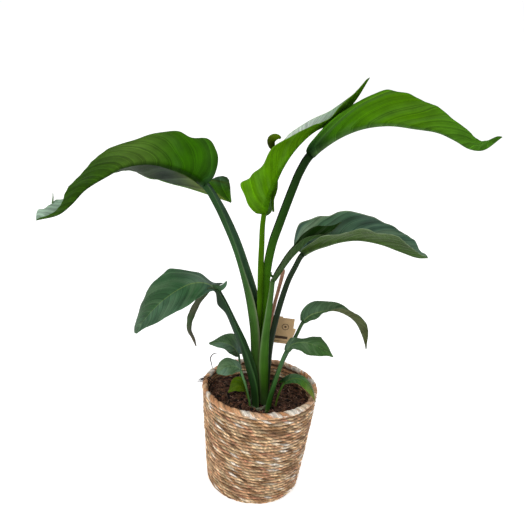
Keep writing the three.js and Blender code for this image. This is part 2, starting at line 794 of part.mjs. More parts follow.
// Care card: a flat card with a stepped right edge, standing just behind the stick
function cardGeometry() {
  const outline = [
    [0, 0],
    [CARD_WIDTH - 2 * CARD_STEP, 0],
    [CARD_WIDTH, 0.29 * CARD_HEIGHT],
    [CARD_WIDTH + CARD_STEP, 0.62 * CARD_HEIGHT],
    [CARD_WIDTH - CARD_STEP, 0.65 * CARD_HEIGHT],
    [CARD_WIDTH - CARD_STEP, CARD_HEIGHT - CARD_STEP],
    [0.64 * CARD_WIDTH, CARD_HEIGHT - CARD_STEP],
    [0.59 * CARD_WIDTH, CARD_HEIGHT],
    [0, CARD_HEIGHT]
  ];
  const shape = new THREE.Shape(outline.map(([x, z]) => new THREE.Vector2(x, z)));
  const geometry = new THREE.ExtrudeGeometry(shape, { depth: CARD_THICKNESS, bevelEnabled: false });
  geometry.rotateX(Math.PI / 2);
  geometry.rotateY(THREE.MathUtils.degToRad(CARD_LEAN));
  const low = new THREE.Vector3(...STICK_FOOT);
  const high = new THREE.Vector3(...STICK_TOP);
  const share = (CARD_CORNER[1] - low.z) / (high.z - low.z);
  const y = THREE.MathUtils.lerp(low.y, high.y, share) + STICK_RADIUS + CARD_THICKNESS + GAP;
  geometry.translate(CARD_CORNER[0], y, CARD_CORNER[1]);
  return geometry;
}

// Torn strip: a narrow sheet along its route
function stripGeometry() {
  const points = TORN_STRIP.route.map((p) => new THREE.Vector3(...p));
  const curve = new THREE.CatmullRomCurve3(points, false, "centripetal");
  const tilt = THREE.MathUtils.degToRad(TORN_STRIP.tilt);
  const upper = [];
  const lower = [];
  for (let i = 0; i <= TORN_STRIP.stations; i += 1) {
    const u = i / TORN_STRIP.stations;
    const half = along(TORN_STRIP.width, u);
    const frame = frameAt(curve, u, -1);
    const row = (lift) => [1, 0, -1].map((x) => [
      half * x * Math.cos(tilt) - lift * Math.sin(tilt),
      half * x * Math.sin(tilt) + lift * Math.cos(tilt),
      0
    ]);
    upper.push(placed(frame, row(TORN_STRIP.thickness / 2)));
    lower.push(placed(frame, row(-TORN_STRIP.thickness / 2)));
  }
  return sheetGeometry(upper, lower, true);
}

function piece(name, geometry, color, roughness) {
  const material = new THREE.MeshStandardMaterial({ color, roughness, metalness: 0 });
  const mesh = new THREE.Mesh(geometry, material);
  mesh.name = name;
  return mesh;
}

const plant = new THREE.Group();
plant.add(piece("basket", basketGeometry(), 0xb98a52, 0.85));
plant.add(piece("liner", linerGeometry(), 0x9a9a90, 0.5));
plant.add(piece("soil", soilGeometry(), 0x3a2519, 0.95));
plant.add(piece("stick", stickGeometry(0), 0xa8745a, 0.8));
plant.add(piece("care_card", cardGeometry(), 0xc9a878, 0.9));
for (const leaf of LEAVES) {
  let geometry = leafGeometry(leaf);
  if (leaf.name === "leaf_mid_left") {
    geometry = toGeometry(toSolid(geometry).add(toSolid(stripGeometry())));
  }
  plant.add(piece(leaf.name, geometry, leaf.color, 0.45));
}

export default plant;
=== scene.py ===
"""Young white bird of paradise in a coiled seagrass basket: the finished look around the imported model.

Lengths in this file are millimetres, with the origin in the middle of the basket's underside, +Z up and
the front at -Y. Meshes are scaled to metres when they are made. Angles are written in degrees.
"""
import math

import bpy
import numpy as np
from mathutils import Matrix


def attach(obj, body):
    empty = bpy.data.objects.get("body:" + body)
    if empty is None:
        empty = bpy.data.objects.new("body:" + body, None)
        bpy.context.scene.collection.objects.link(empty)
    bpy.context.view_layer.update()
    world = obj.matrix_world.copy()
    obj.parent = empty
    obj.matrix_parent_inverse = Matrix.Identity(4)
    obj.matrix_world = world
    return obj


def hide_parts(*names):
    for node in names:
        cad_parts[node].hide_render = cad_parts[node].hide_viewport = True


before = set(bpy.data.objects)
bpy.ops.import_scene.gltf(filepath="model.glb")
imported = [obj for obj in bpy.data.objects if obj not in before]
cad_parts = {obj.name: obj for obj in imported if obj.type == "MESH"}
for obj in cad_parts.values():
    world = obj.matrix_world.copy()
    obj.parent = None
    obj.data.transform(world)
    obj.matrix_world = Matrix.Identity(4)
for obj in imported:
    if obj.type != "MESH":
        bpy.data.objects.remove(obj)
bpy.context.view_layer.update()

MM = 0.001

# Camera
CAMERA_PLACE = (0.0, -1255.0, 958.0)
CAMERA_PITCH = 23.24
CAMERA_YAW = -0.72
CAMERA_ROLL = 5.0
CAMERA_FOCAL_PIXELS = 850.0
IMAGE_PIXELS = 524.0
SENSOR_WIDTH = 36.0

# Stage. A light has a name, a place, the point it faces, the side of its square and its power in watts.
LIGHTS = (
    ("key_light", (-1000, -1600, 2100), (0, 0, 350), 1300, 25),
    ("fill_light", (1900, -1500, 1200), (0, 0, 350), 1800, 6),
    ("back_light", (300, 1600, 2300), (0, 0, 450), 1500, 16)
)
WORLD_STRENGTH = 0.42
FLOOR_REACH = 60000.0
FLOOR_TONE = 0.93
FLOOR_GLOW = 0.62

# Basket
RIM_RADIUS = 100.8
BASE_RADIUS = 80.2
BASKET_HEIGHT = 186.0
BASKET_WALL = 8.0
RIM_ROLL = 5.2
RIM_THICKNESS = 4.4
COIL_ROWS = 29
COIL_PITCH = (BASKET_HEIGHT - 2 * RIM_ROLL) / COIL_ROWS

# The wall has one more row, which lies half under the rim
WALL_ROWS = COIL_ROWS + 1
FOOT_TUCK = 2.2
SKIN_DEPTH = 6.0
INNER_ROWS = 6
INNER_SKIN_DEPTH = 4.0
STRAY_FIBRES = 150

# Underside: rings of rope, and the (radius, height) of the skin that closes them
BASE_ROWS = 12
BASE_LIFT = 2.6
BASE_DEPTH = 2.5
BASE_VALLEY = 0.75
BASE_SHADE = 0.5
BASE_SKIN = ((76, 6.5), (0.5, 6.5), (0.5, 1.5))

# Slump of the soft basket: where the mouth is pulled in and raised most, and how far
MOUTH_TURN = -68.0
MOUTH_PULL = 4.0
MOUTH_LIFT = 1.5
MOUTH_RISE = 7.0

# Rope. PLY_VALLEY is the share of its radius between two plies, and PLY_CREST what the middle of a ply adds.
# A shade is the share of the colour that is left in a valley or a gap.
PLIES = 4
TWIST_LENGTH = 44.0
TWIST_WANDER = 0.9
PLY_ROUNDNESS = 0.7
PLY_VALLEY = 0.66
PLY_CREST = 0.4
VALLEY_SHADE = 0.44
GAP_SHADE = 0.03
GAP_POWER = 1.5
ROW_UNEVENNESS = 0.1
ROW_OVERLAP = 1.02
ROW_SWELL = 0.5
ROW_WAVE = 0.45
STREAK_LENGTH = 3.6
STREAK_CONTRAST = 0.46
STRAND_MARKS = 2.2
INNER_TONE = 1.3

# Rim roll: strands round it, their valley and crest, unevenness, and pale patches as (middle, half spread)
RIM_STRANDS = 46
RIM_ROUNDNESS = 0.6
RIM_VALLEY = 0.78
RIM_CREST = 0.26
RIM_SHADE = 0.45
RIM_FIBRE = 0.3
RIM_UNEVENNESS = 0.14
RIM_SWELL = 0.7
RIM_WAVE = 1.0
RIM_PALE_PATCHES = ((-152, 3), (-97, 4), (-70, 6), (-48, 8), (24, 6), (52, 8), (118, 6), (163, 7))
RIM_PALE_STRENGTH = 0.85

# Steps round the basket for each piece of it, sides of the rim roll, and the angles sampled round a rope
WALL_STEPS = 800
WALL_SECTION = (-75, -50, -25, 0, 25, 50, 75)
INNER_STEPS = 560
INNER_SECTION = (72, 40, 8, -24, -56)
RIM_STEPS = 900
RIM_SIDES = 18
BASE_STEPS = 300
BASE_SECTION = (-70, -25, 25, 70)
SOIL_STEPS = 260
SOIL_RINGS = 90

# Soil. Lumps have a height and a width.
SOIL_EDGE = 158.0
SOIL_CROWN = 164.0
SOIL_FLOOR = 8.6
SOIL_RADIUS = 88.0
SOIL_OVERLAP = 1.4
SOIL_SIDE = 12.0
SOIL_MIDDLE = 0.4
SOIL_LUMPS = ((2.2, 16), (1.3, 7), (0.7, 3))
SOIL_HEAP = 12.0
SOIL_HEAP_PLACE = (-78.0, 22.0)
SOIL_HEAP_SPREAD = 28.0
LITTER_RADIUS = 86.0
CRUMBS = 900
CRUMB_LIFT = 0.3
COIR_FIBRES = 1300
COIR_RADIUS = 84.0
COIR_POINTS = 7

# Dark tuft on the left rim, pale tuft at the foot of the shoot, and the curled fibre behind the dark one
RIM_TUFT_FIBRES = 9
RIM_TUFT_START = (-86.0, 2.0, 174.0)
RIM_TUFT_END = (-110.0, 0.0, 184.0)
RIM_TUFT_THICKNESS = 0.8
FOOT_TUFT_FIBRES = 14
FOOT_TUFT_PLACE = (8.0, -38.0, 162.0)
FOOT_TUFT_THICKNESS = 0.3
CURLED_FIBRE = (
    (-83, 45, 168), (-89, 52, 190), (-92, 50, 204), (-89, 47, 214), (-84, 44, 219), (-79, 42, 221)
)
CURLED_FIBRE_THICKNESS = 1.0

# Old leaf bases round the foot: middle angle, half spread, radius and height of each
BRACT_CENTRE = (2.0, -17.0)
BRACTS = ((-128, 24, 19, 11), (-88, 22, 20, 9), (-54, 24, 18, 12), (-5, 30, 20, 9), (170, 30, 18, 12))
BRACT_THICKNESS = 0.9
BRACT_SINK = 6.0

# Stick and care card. The card's right edge flares up to a notch, and its top steps down from a share on.
STICK_FOOT = (-18.5, 31.0, 128.0)
STICK_TOP = (20.5, 20.0, 401.0)
STICK_RADIUS = 3.1
STICK_ROWS = 90
STICK_SIDES = 18
STICK_MARKS = 270.0
CARD_WIDTH = 52.0
CARD_HEIGHT = 51.0
CARD_THICKNESS = 0.8
CARD_CORNER = (-4.0, 260.0)
CARD_LEAN = 2.0
CARD_STEP = 2.0
CARD_FLARE_END = 0.62
CARD_NOTCH = 0.63
CARD_TOP_STEP = 0.6
CARD_BOW = 0.7
CARD_GAP = 0.3
CARD_COLUMNS = 105
CARD_ROWS = 97

# Plain print on the card, from its lower left corner: two frame lines, a band, and a ring with a dot in it
FRAME_LEFT = 3.5
FRAME_FOOT = 4.0
FRAME_RIGHT = 46.0
FRAME_TOP = 44.0
FRAME_LINE = 0.35
BAND_ACROSS = (20, 42)
BAND_UP = (9, 14)
RING_CENTRE = (36, 32)
RING_RADIUS = 5.5
RING_LINE = 0.6
DOT_RADIUS = 2.0

# Leaf cross-sections, as in the solids: shares of half breadth and channel depth from the middle out
CHANNEL_OUT = (0, 0.45, 0.85, 1)
CHANNEL_UP = (0, 0.06, 0.38, 1)
BACK_OUT = (0, 0.6, 1, 1)
BACK_DOWN = (1, 0.8, 0.15, 0)
BACK_UP = (0, 0, 0.3, 1)
WING_THICKNESS = 1.3
BLADE_THICKNESS = 0.6
BLADE_MIDDLE = 0.6
RIB_HALF_WIDTH = 4.0
RIB_WIDEST = 0.4
RIB_TAPER = 0.6
RIB_POWER = 1.5
REACH_POWER = 1.5
FAR_WAVE_SHIFT = 0.3
LIST_POWER = 1.5
STATION_POWER = 1.15
JOINT_BLEND = 0.015
TIP_ROUNDING = 0.03
TIP_WIDTH = 0.6

# Fibres: where their thickness is read on a half wave from end to end, and the least share of it
FIBRE_ENDS = (0.08, 0.92)
FIBRE_TIP = 0.15

# Grid of a leaf: the rib takes the first third of the shares of a half
RIB_COLUMNS = 5
WEB_COLUMNS = 13
STALK_STEP = 4.0
BLADE_ROWS = 130
ROUTE_STEPS = 40
TANGENT_REACH = 1.0

# Relief of a blade: slow sways, flutter of the margin, the groove over the midrib and drift of the pleats
SWAY = 1.4
SWAY_LENGTH = 45.0
FLUTTER = 0.8
FLUTTER_LENGTH = 14.0
GROOVE = 0.5
GROOVE_SPREAD = 0.35
PLEAT_DRIFT = 0.35
PLEAT_DRIFT_LENGTH = 60.0
MARGIN_THINNING = 0.35

# Looks of leaves. FOOT_FADE is where the tone of the foot ends, and RIB_SPREAD how far the rib's colour
# reaches on the upper and the under side, in thirds of a half.
FOOT_LOOK = 0x5F6E54
FOOT_STRENGTH = 0.7
FOOT_FADE = (10.0, 34.0)
# Painted sheen and painted shade on the pleats of a blade: the pale sheen colour, and how deep the shade
# darkens.
BAND_SHEEN = 0xA0BA92
PLEAT_SHADE_DEPTH = 1.1
CLOUD_CONTRAST = 0.16
MARGIN_FADE = (0.945, 0.985)
MARGIN_STRENGTH = 0.75
EDGE_FADE = (0.72, 1.0)
RIB_SPREAD = (0.3, 0.9)

# Pattern coordinates: units from one main vein or side vein of a blade to the next, and across half a stalk
VEIN_UNITS = 10.0
SIDE_VEIN_UNITS = 2.5
STALK_MARKS = 4.2

# Leaves. side is 1 for those that lean to the right. A stalk has the route of its channel's floor and lists
# from its cut end to the blade: half breadth, depth of the channel and of the back, turn about the route,
# and the colours of the channel, the back and the edges, where the darker of channel and back is partly
# painted shade on the side turned from the light. A swelling is a bump of the back. midrib is the route of
# the blade. Its near and far halves have lists at shares (k / 6) ^ 1.5 of its length: width, lift above
# level, reach, which is how far the margin runs back, and the colours of the upper and the under side,
# which hold painted sheen and painted shade in places. arch is half the bend from the rib to the margin,
# bumps change the width by (place, spread, size), and veins say how far the main veins sweep forward, in
# widths, at the base and at the tip, and the power of their bend. tone makes colours lighter or darker.
# rib_looks are the colours of the rib on the upper and the under side, and bands the strength of the
# painted sheen and painted shade between the veins there. ripple is the height and spacing of the pleats,
# and wave the height, number and start of the waves along the margin.
LEAVES = [{
    "name": "leaf_upper_left", "slot": "leaf_bright", "side": -1,
    "stalk": {
        "route": [[-10, -3.5, 132], [-11, -3.5, 165], [-14.6, -3.5, 215], [-17.8, -3.5, 265],
            [-21.2, -3, 310], [-28, -2.5, 352], [-40, 0, 396], [-55, 2, 437], [-74, 5, 476], [-92, 8, 508]],
        "breadth": [9.4, 10.8, 11.1, 9.4, 7.6, 6.5, 6], "channel": [9, 12, 12, 10, 4, 4, 3],
        "back": [4, 4, 4.5, 8, 9.5, 9, 8], "turn": [0, 0, 0, 15, 25, 20, 0], "tone": 0.55,
        "looks": [
            [0x5A6A4A, 0x4C7048, 0x568058, 0x5C8862, 0x64896C],
            [0x768468, 0x4C742E, 0x54843A, 0x467440, 0x386034],
            [0x6C7458, 0x66604A, 0x8C9C74, 0x62825A, 0x5C7C50]
        ]
    },
    "midrib": [[-113, 10, 537], [-137, 10, 552], [-168, 10, 562], [-203, 10, 566], [-242, 11, 556],
        [-273, 10, 536], [-305, 8, 511], [-326, 4, 485], [-345, 0, 468], [-379, -5, 457]],
    "near": {
        "width": [5, 55, 68, 61, 48, 24, 4], "lift": [60, 78, 74, 50, 42, 46, 50], "arch": 12,
        "reach": [2, 6, 3, 0, 0, 0, 0],
        "bumps": [[0.165, 0.035, -8], [0.105, 0.03, 5], [0.05, 0.025, 3], [0.34, 0.05, -6],
            [0.43, 0.05, 4]],
        "veins": [0.3, 1.6, 1.7], "tone": 0.5,
        "upper": [0x2F6408, 0x3A700C, 0x42780F, 0x447812, 0x3C6E12, 0x356812, 0x2F6010],
        "under": [0x2F6806, 0x3F7C06, 0x4C8E0A, 0x6C9834, 0x4C7C18, 0x447414, 0x4C7A1C]
    },
    "far": {
        "width": [64, 37, 57, 60, 49, 37, 17], "lift": [52, -30, -47, -43, -13, 12, 60], "arch": 8,
        "reach": [7, 72, 18, 0, 0, 0, 0],
        "bumps": [[0.015, 0.008, -10], [0.085, 0.02, -6], [0.45, 0.045, 12], [0.28, 0.07, -5],
            [0.87, 0.03, 6], [0.955, 0.02, -3]],
        "veins": [0.7, 2.2, 1.5], "tone": 1.0,
        # Painted sheen: the pale last colours of both far lists, at the tip. The grey middle of the far
        # underside is partly its own colour and partly painted shade.
        "upper": [0x3E7404, 0x437A04, 0x284D14, 0x284A16, 0x375924, 0x86A68A, 0xAAC2B0],
        "under": [0x2C5606, 0x6C822A, 0x3A4634, 0x323E2C, 0x2E3E26, 0x2C441C, 0xB0C4B0]
    },
    "rib_looks": [0x86A84A, 0x22420A], "margin_look": 0x5A8C22, "ripple": [1.5, 20], "bands": [0.08, 0.07],
    "wave": [1.5, 5, 0.6]
}, {
    "name": "leaf_centre", "slot": "leaf_lime", "side": 1,
    "stalk": {
        "route": [[-3.8, -2, 132], [-4, -2, 170], [-7.2, -2, 215], [-9.9, -2.4, 262], [-13.2, -2.8, 305],
            [-15, -3.3, 352], [-17, -2, 384], [-19, -1, 417], [-20, 0, 448], [-21, 0, 481]],
        "breadth": [4.4, 4.9, 4.9, 4.8, 4], "channel": [3, 3, 3, 3, 3], "back": [6, 6, 6, 6.5, 5],
        "tone": 0.62,
        "looks": [
            [0x6A8A5A, 0x3E7010, 0x4A7C12, 0x4E8214, 0x56880F],
            [0x7A9468, 0x4C7C12, 0x568C10, 0x5C9010, 0x5C9408],
            [0x8A9A70, 0x5C8A20, 0x6C9A2A, 0x6C9C2A, 0x64981A]
        ]
    },
    "midrib": [[-20, 0, 501], [-16, 1, 527], [-9.5, 2, 548.5], [2, 3, 580], [20, 4, 611.5], [45, 5, 639],
        [77, 5, 659], [101, 5, 690.5], [118, 5, 726]],
    "near": {
        "width": [4, 30, 31, 32, 28, 24, 3], "lift": [70, 92, 92, 70, 32, 38, 60], "arch": 5,
        "reach": [4, 5, 3, 0, 0, 0, 0], "bumps": [[0.13, 0.035, 15], [0.2, 0.04, 6], [0.28, 0.06, -5]],
        "veins": [0.8, 2.6, 1.3], "tone": 0.78,
        "upper": [0x4C840A, 0x4C840A, 0x4E860E, 0x4E860E, 0x4E860E, 0x4E860E, 0x4A800E],
        "under": [0x5A8E04, 0x66A404, 0x64A204, 0x629E06, 0x5A9008, 0x58920E, 0x50840E]
    },
    "far": {
        "width": [6, 34, 43, 34, 19, 15.5, 1.5], "lift": [-20, -24, -6, 30, 58, 70, 75], "arch": 5,
        "reach": [6, 18, 6, 0, 0, 0, 0], "veins": [0.8, 2.2, 1.2], "tone": 1.0,
        # Painted sheen: the near-white middle of the far half's upper list, a pale band along its edge.
        "upper": [0x5C8C28, 0x8CB48C, 0xD4E4DC, 0xF0FAF4, 0xE8F4EC, 0xA8C8A8, 0x6C8C50],
        "under": [0x42700A, 0x42700C, 0x375E0C, 0x3C670E, 0x426E0E, 0x426E0E, 0x426E0E]
    },
    "rib_looks": [0xA8C070, 0x4A8204], "margin_look": 0x84AE38, "ripple": [0.6, 16], "bands": [0.06, 0.06],
    "wave": [1, 4, 0]
}, {
    "name": "leaf_upper_right", "slot": "leaf_bright", "side": 1,
    "stalk": {
        "route": [[1, 15, 132], [1, 15, 170], [0, 15.3, 230], [-3, 14, 290], [-7, 12, 349],
            [-9.5, 10.3, 386], [-8.2, 9.3, 418], [-4, 8.5, 451], [3, 8, 481], [11, 9, 513], [19, 10, 543],
            [28, 10, 573]],
        "breadth": [5.5, 5.5, 6, 6.5, 7, 7, 6.5], "channel": [4, 4, 4, 4, 4, 3.5, 3],
        "back": [8, 8, 8.5, 9.5, 9.5, 9.5, 9], "tone": 0.5,
        "looks": [
            [0x4A6A3A, 0x4C8C0C, 0x447C14, 0x264816, 0x182C10],
            [0x54743A, 0x60A40C, 0x5A9C14, 0x3C6C22, 0x223F18],
            [0x6A8450, 0x4C8010, 0x427018, 0x305220, 0x214018]
        ]
    },
    "midrib": [[41, 10, 600], [64, 10, 623], [92, 10, 642], [121, 10, 654], [158, 10, 660], [196, 8, 658],
        [231, 5, 655], [257, 0, 646], [280, -5, 636], [299, -8, 637], [322, -12, 660]],
    "near": {
        "width": [5, 22, 43, 57, 50, 28, 7], "lift": [60, 45, 48, 64, 68, 64, 60], "arch": 8,
        "reach": [2, 3, 1, 0, 0, 0, 0],
        "bumps": [[0.4, 0.035, 4], [0.27, 0.06, -4], [0.48, 0.03, 2], [0.69, 0.05, -5], [0.91, 0.04, 7]],
        "veins": [1.5, 2.4, 1.1], "tone": 0.82,
        "upper": [0x22500A, 0x2A5C0C, 0x30640C, 0x34680E, 0x346A10, 0x34680E, 0x30600C],
        # Painted shade: the dark first colours of the near half's underside, at its rolled base.
        "under": [0x1A3618, 0x28501A, 0x468206, 0x508804, 0x508404, 0x50861C, 0x3C700C]
    },
    "far": {
        "width": [5, 15, 30, 56, 56, 36, 5], "lift": [50, 45, 40, 34, 28, 30, 45], "arch": 8,
        "reach": [2, 4, 2, 0, 0, 0, 0], "veins": [1.5, 2.4, 1.1], "tone": 0.82,
        "upper": [0x26500C, 0x2C5C10, 0x34680E, 0x3C720E, 0x447A14, 0x4A8022, 0x3C6E10],
        "under": [0x244C06, 0x2C5C06, 0x386C0C, 0x42780C, 0x447C10, 0x487C1A, 0x3A6C0C]
    },
    "rib_looks": [0x7A9A4C, 0x4C6C38], "margin_look": 0x4C8414, "ripple": [1.3, 27], "bands": [0.08, 0.08],
    "wave": [1.2, 5, 1]
}, {
    "name": "leaf_mid_right", "slot": "leaf_dark", "side": 1,
    "stalk": {
        "route": [[9, 2, 132], [9.5, 2, 175], [8.6, 3, 225], [9, 3, 270], [12.4, 4, 305], [19.6, 5, 350],
            [28, 5, 388], [37, 5, 413]],
        "breadth": [5, 5.8, 7, 6.6, 5.4, 4.5], "channel": [3, 3, 3, 3, 2.5, 2.5],
        "back": [6, 6, 6.5, 6.5, 6, 5], "tone": 0.7,
        "looks": [
            [0x2C4420, 0x1C3214, 0x182C12, 0x14280F, 0x142810],
            [0x34502A, 0x203C18, 0x1C3616, 0x183012, 0x1A3414],
            [0x50683C, 0x30502A, 0x284422, 0x24401E, 0x2A4A24]
        ]
    },
    "midrib": [[47, 5, 436], [64, 5, 449], [82, 5, 457], [105, 5, 466], [133, 5, 471], [169, 5, 467],
        [201, 3, 458], [230, 0, 451], [246, -2, 453]],
    "near": {
        "width": [5, 20, 39, 45, 46, 38, 4], "lift": [50, 42, 40, 38, 42, 46, 55], "arch": 10,
        "bumps": [[0.4, 0.03, -3], [0.6, 0.04, 3], [0.5, 0.03, 2]], "veins": [1.2, 2.0, 1.2], "tone": 0.75,
        "upper": [0x2A4E2A, 0x2A4E2A, 0x2A502A, 0x2C522C, 0x2E542C, 0x30562C, 0x345A2C],
        "under": [0x263E06, 0x345206, 0x385806, 0x3A5A08, 0x3E5E0E, 0x3C5C18, 0x3E5E22]
    },
    "far": {
        "width": [10, 35, 49, 49, 45, 36, 6], "lift": [85, 70, 54, 50, 46, 42, 55], "arch": 12,
        "reach": [6, 4, 2, 0, 0, 0, 0],
        "bumps": [[0.09, 0.04, 6], [0.28, 0.035, -4], [0.61, 0.05, -5.5], [0.87, 0.04, 4]],
        "veins": [0.9, 1.6, 1.3], "tone": 0.75,
        # Painted sheen: the grey-blue tones of the far half's upper list.
        "upper": [0x48685A, 0x547866, 0x486E4E, 0x507658, 0x547862, 0x486E54, 0x587E6C],
        "under": [0x24441C, 0x26461C, 0x28481E, 0x2C4C20, 0x2E4E24, 0x2E4E28, 0x2C4C28]
    },
    "rib_looks": [0x6F8A4A, 0x557040], "margin_look": 0x9CB088, "ripple": [1.4, 17], "bands": [0.6, 0.05],
    "wave": [2.5, 4, 0.5]
}, {
    "name": "leaf_strap_right", "slot": "leaf_bright", "side": 1,
    "stalk": {
        "route": [[10, -13.4, 132], [10, -13.4, 178], [7, -13.4, 229], [4.8, -13.4, 259],
            [3.4, -13.5, 295], [3.4, -14, 335], [4.2, -15, 376]],
        "breadth": [5, 5, 5, 4.8, 3.6, 3.2], "channel": [9, 10, 12, 9.5, 6, 4],
        "back": [4, 4, 4, 4, 4, 3.5], "tone": 0.75,
        "looks": [
            [0x5A7A44, 0x34601C, 0x2E5A1A, 0x2F5A20, 0x3C6430],
            [0x6A8458, 0x4C7A26, 0x4A7A28, 0x4A7630, 0x4C7038],
            [0x7C8A68, 0x6C8050, 0x74925A, 0x7C9A68, 0x708A58]
        ]
    },
    "midrib": [[5, -18, 396], [11, -20, 409], [20, -24, 427], [30, -28, 445], [41, -30, 460],
        [51, -28, 472], [64, -24, 479], [79, -19, 484], [91, -14, 491], [102, -10, 503]],
    "near": {
        "width": [3, 4.5, 6, 8.5, 9, 3, 1.2], "lift": [50, 60, 68, 74, 76, 60, 50], "arch": 5,
        "veins": [2.0, 2.6, 1.2], "tone": 0.5,
        "upper": [0x4A7038, 0x3C6428, 0x2E5C1C, 0x2A5818, 0x2A5818, 0x2E5A1C, 0x345E24],
        "under": [0x587A48, 0x5C7C4A, 0x627F50, 0x5C7A4A, 0x527440, 0x44682E, 0x3C6024]
    },
    "far": {
        "width": [3, 6, 8, 10, 12.5, 16.5, 1.5], "lift": [50, 50, 50, 55, 60, 60, 50], "arch": 5,
        "veins": [2.0, 2.6, 1.2], "tone": 0.5,
        # Painted shade: the dark middle of the far half's upper list, inside the fold.
        "upper": [0x345A24, 0x244816, 0x1A3C0C, 0x183A08, 0x183A06, 0x1E4208, 0x305620],
        "under": [0x4A6C3C, 0x4A6C3C, 0x4C6C3C, 0x4C6C3C, 0x486838, 0x406030, 0x3C5C28]
    },
    "rib_looks": [0x5C8040, 0x4C6C3C], "margin_look": 0x84966A, "ripple": [0.2, 9], "bands": [0.1, 0.1],
    "wave": [0, 1, 0]
}, {
    "name": "leaf_mid_left", "slot": "leaf_dark", "side": -1,
    "stalk": {
        "route": [[-5, -26, 132], [-5, -26, 165], [-11, -26, 204], [-22, -25, 241], [-35, -24, 278],
            [-50, -23, 311], [-65, -21, 342], [-76, -20, 361]],
        "breadth": [5.5, 6, 6, 6, 6, 5.5], "channel": [4, 6, 8, 5, 3, 2], "back": [6, 6, 6, 6, 6, 5],
        "turn": [0, 0, 15, 15, 0, 0], "swelling": [[0.9, 0.05, 7]], "tone": 0.6,
        "looks": [
            [0x567A3A, 0x3F6C2E, 0x3A6832, 0x34602F, 0x2A4C28],
            [0x3C5A2C, 0x24481E, 0x22441E, 0x24462A, 0x203C1E],
            [0x6C8A50, 0x4C7838, 0x44703A, 0x3C6634, 0x345830]
        ]
    },
    "midrib": [[-85, -20, 374], [-103, -22, 383], [-124, -26, 382], [-145, -33, 372], [-167, -41, 355],
        [-186, -48, 334], [-209, -58, 301]],
    "near": {
        "width": [5, 14, 28, 37, 36, 28, 8], "lift": [10, -25, -30, -32, -32, -30, -20], "arch": 4,
        "reach": [2, 1, 1, 0, 0, 0, 0], "veins": [0.8, 1.4, 1.4], "tone": 0.88,
        "upper": [0x4C6A58, 0x446250, 0x36603A, 0x3C6640, 0x4A7050, 0x466A4C, 0x456C4A],
        "under": [0x5C7C58, 0x5C7C58, 0x587854, 0x527250, 0x4E6E4C, 0x4A6A48, 0x4A6A48]
    },
    "far": {
        "width": [16, 14, 31, 50, 52, 47, 16], "lift": [75, 0, 8, 25, 26, 22, 10], "arch": 8,
        "reach": [8, 5, 2, 0, 0, 0, 0],
        "bumps": [[0.5, 0.06, -4], [0.38, 0.04, 4], [0.25, 0.05, -4], [0.74, 0.06, -4], [0.93, 0.06, 6]],
        "veins": [1.0, 1.6, 1.4], "tone": 0.88,
        "upper": [0x34483A, 0x4E6856, 0x46684E, 0x3C6640, 0x3A623C, 0x3A623A, 0x466C4C],
        "under": [0x3A4634, 0x3C5A40, 0x3C5C40, 0x3C5C40, 0x3C5C40, 0x3C5C40, 0x3C5C40]
    },
    "rib_looks": [0x82A050, 0x587A48], "margin_look": 0x587C5C, "ripple": [0.6, 13], "bands": [0.16, 0.1],
    "wave": [1.5, 3, 0.4]
}, {
    "name": "leaf_low_right", "slot": "leaf_dark", "side": 1,
    "stalk": {
        "route": [[17, -23, 132], [17.5, -23, 170], [21, -23, 200], [26, -22, 226], [32, -20, 250],
            [41, -17, 275], [51, -12, 299]],
        "breadth": [4, 4, 4, 3.5, 3], "channel": [3, 4, 3, 2, 2], "back": [4, 4.5, 4, 3.5, 3], "tone": 0.6,
        "looks": [
            [0x5A7C3C, 0x2C541C, 0x264C1C, 0x284E20, 0x30562A],
            [0x5C8040, 0x376224, 0x30582A, 0x385E2E, 0x3C6034],
            [0x7C9A5C, 0x4A7430, 0x44703A, 0x4A703C, 0x4C7044]
        ]
    },
    "midrib": [[60, -8, 322], [70, -7, 335], [84, -8, 343], [108, -9, 350], [128, -12, 346],
        [145, -15, 335], [158, -18, 314], [165, -21, 297], [167, -22, 290]],
    "near": {
        "width": [4, 10, 11, 12, 14, 15, 1.5], "lift": [0, -45, -40, 30, 60, 60, 50], "arch": 4,
        "reach": [2, 1, 0, 0, 0, 0, 0], "bumps": [[0.27, 0.05, -7], [0.08, 0.05, -2.5], [0.62, 0.08, -3]],
        "veins": [1.0, 1.6, 1.3], "tone": 0.8,
        "upper": [0x46643F, 0x46663F, 0x44663E, 0x48643F, 0x4C6240, 0x4C603C, 0x4A5C38],
        "under": [0x4C5A38, 0x505A38, 0x56603C, 0x586038, 0x545C36, 0x525A34, 0x525830]
    },
    "far": {
        "width": [4, 15, 22, 16, 11, 15, 1.5], "lift": [30, 45, 38, 35, 50, 60, 50], "arch": 10,
        "reach": [4, 3, 1, 0, 0, 0, 0], "bumps": [[0.56, 0.08, -2.5], [0.68, 0.05, -1.5]],
        "veins": [1.0, 1.6, 1.3], "tone": 0.8,
        "upper": [0x466846, 0x4C6E4C, 0x4C6C4A, 0x46643F, 0x44603A, 0x465C36, 0x4A5A34],
        "under": [0x4A5A38, 0x4C5A38, 0x4C5A38, 0x4E5C38, 0x505A36, 0x505832, 0x4E562E]
    },
    "rib_looks": [0x86A060, 0x5A6A44], "margin_look": 0x647A50, "ripple": [0.4, 9], "bands": [0.16, 0.1],
    "wave": [0.8, 2, 0]
}, {
    "name": "leaf_low_right_front", "slot": "leaf_dark", "side": 1,
    "stalk": {
        "route": [[15, -34, 132], [15.5, -34, 165], [18, -34, 190], [23, -33, 217], [28, -32, 243],
            [32, -31, 262]],
        "breadth": [3, 3.5, 3.5, 3, 2.5], "channel": [3, 4, 3, 2, 2], "back": [4, 4, 4, 4, 3], "tone": 0.7,
        "looks": [
            [0x88A468, 0x3C6C22, 0x346426, 0x3A682E, 0x447042],
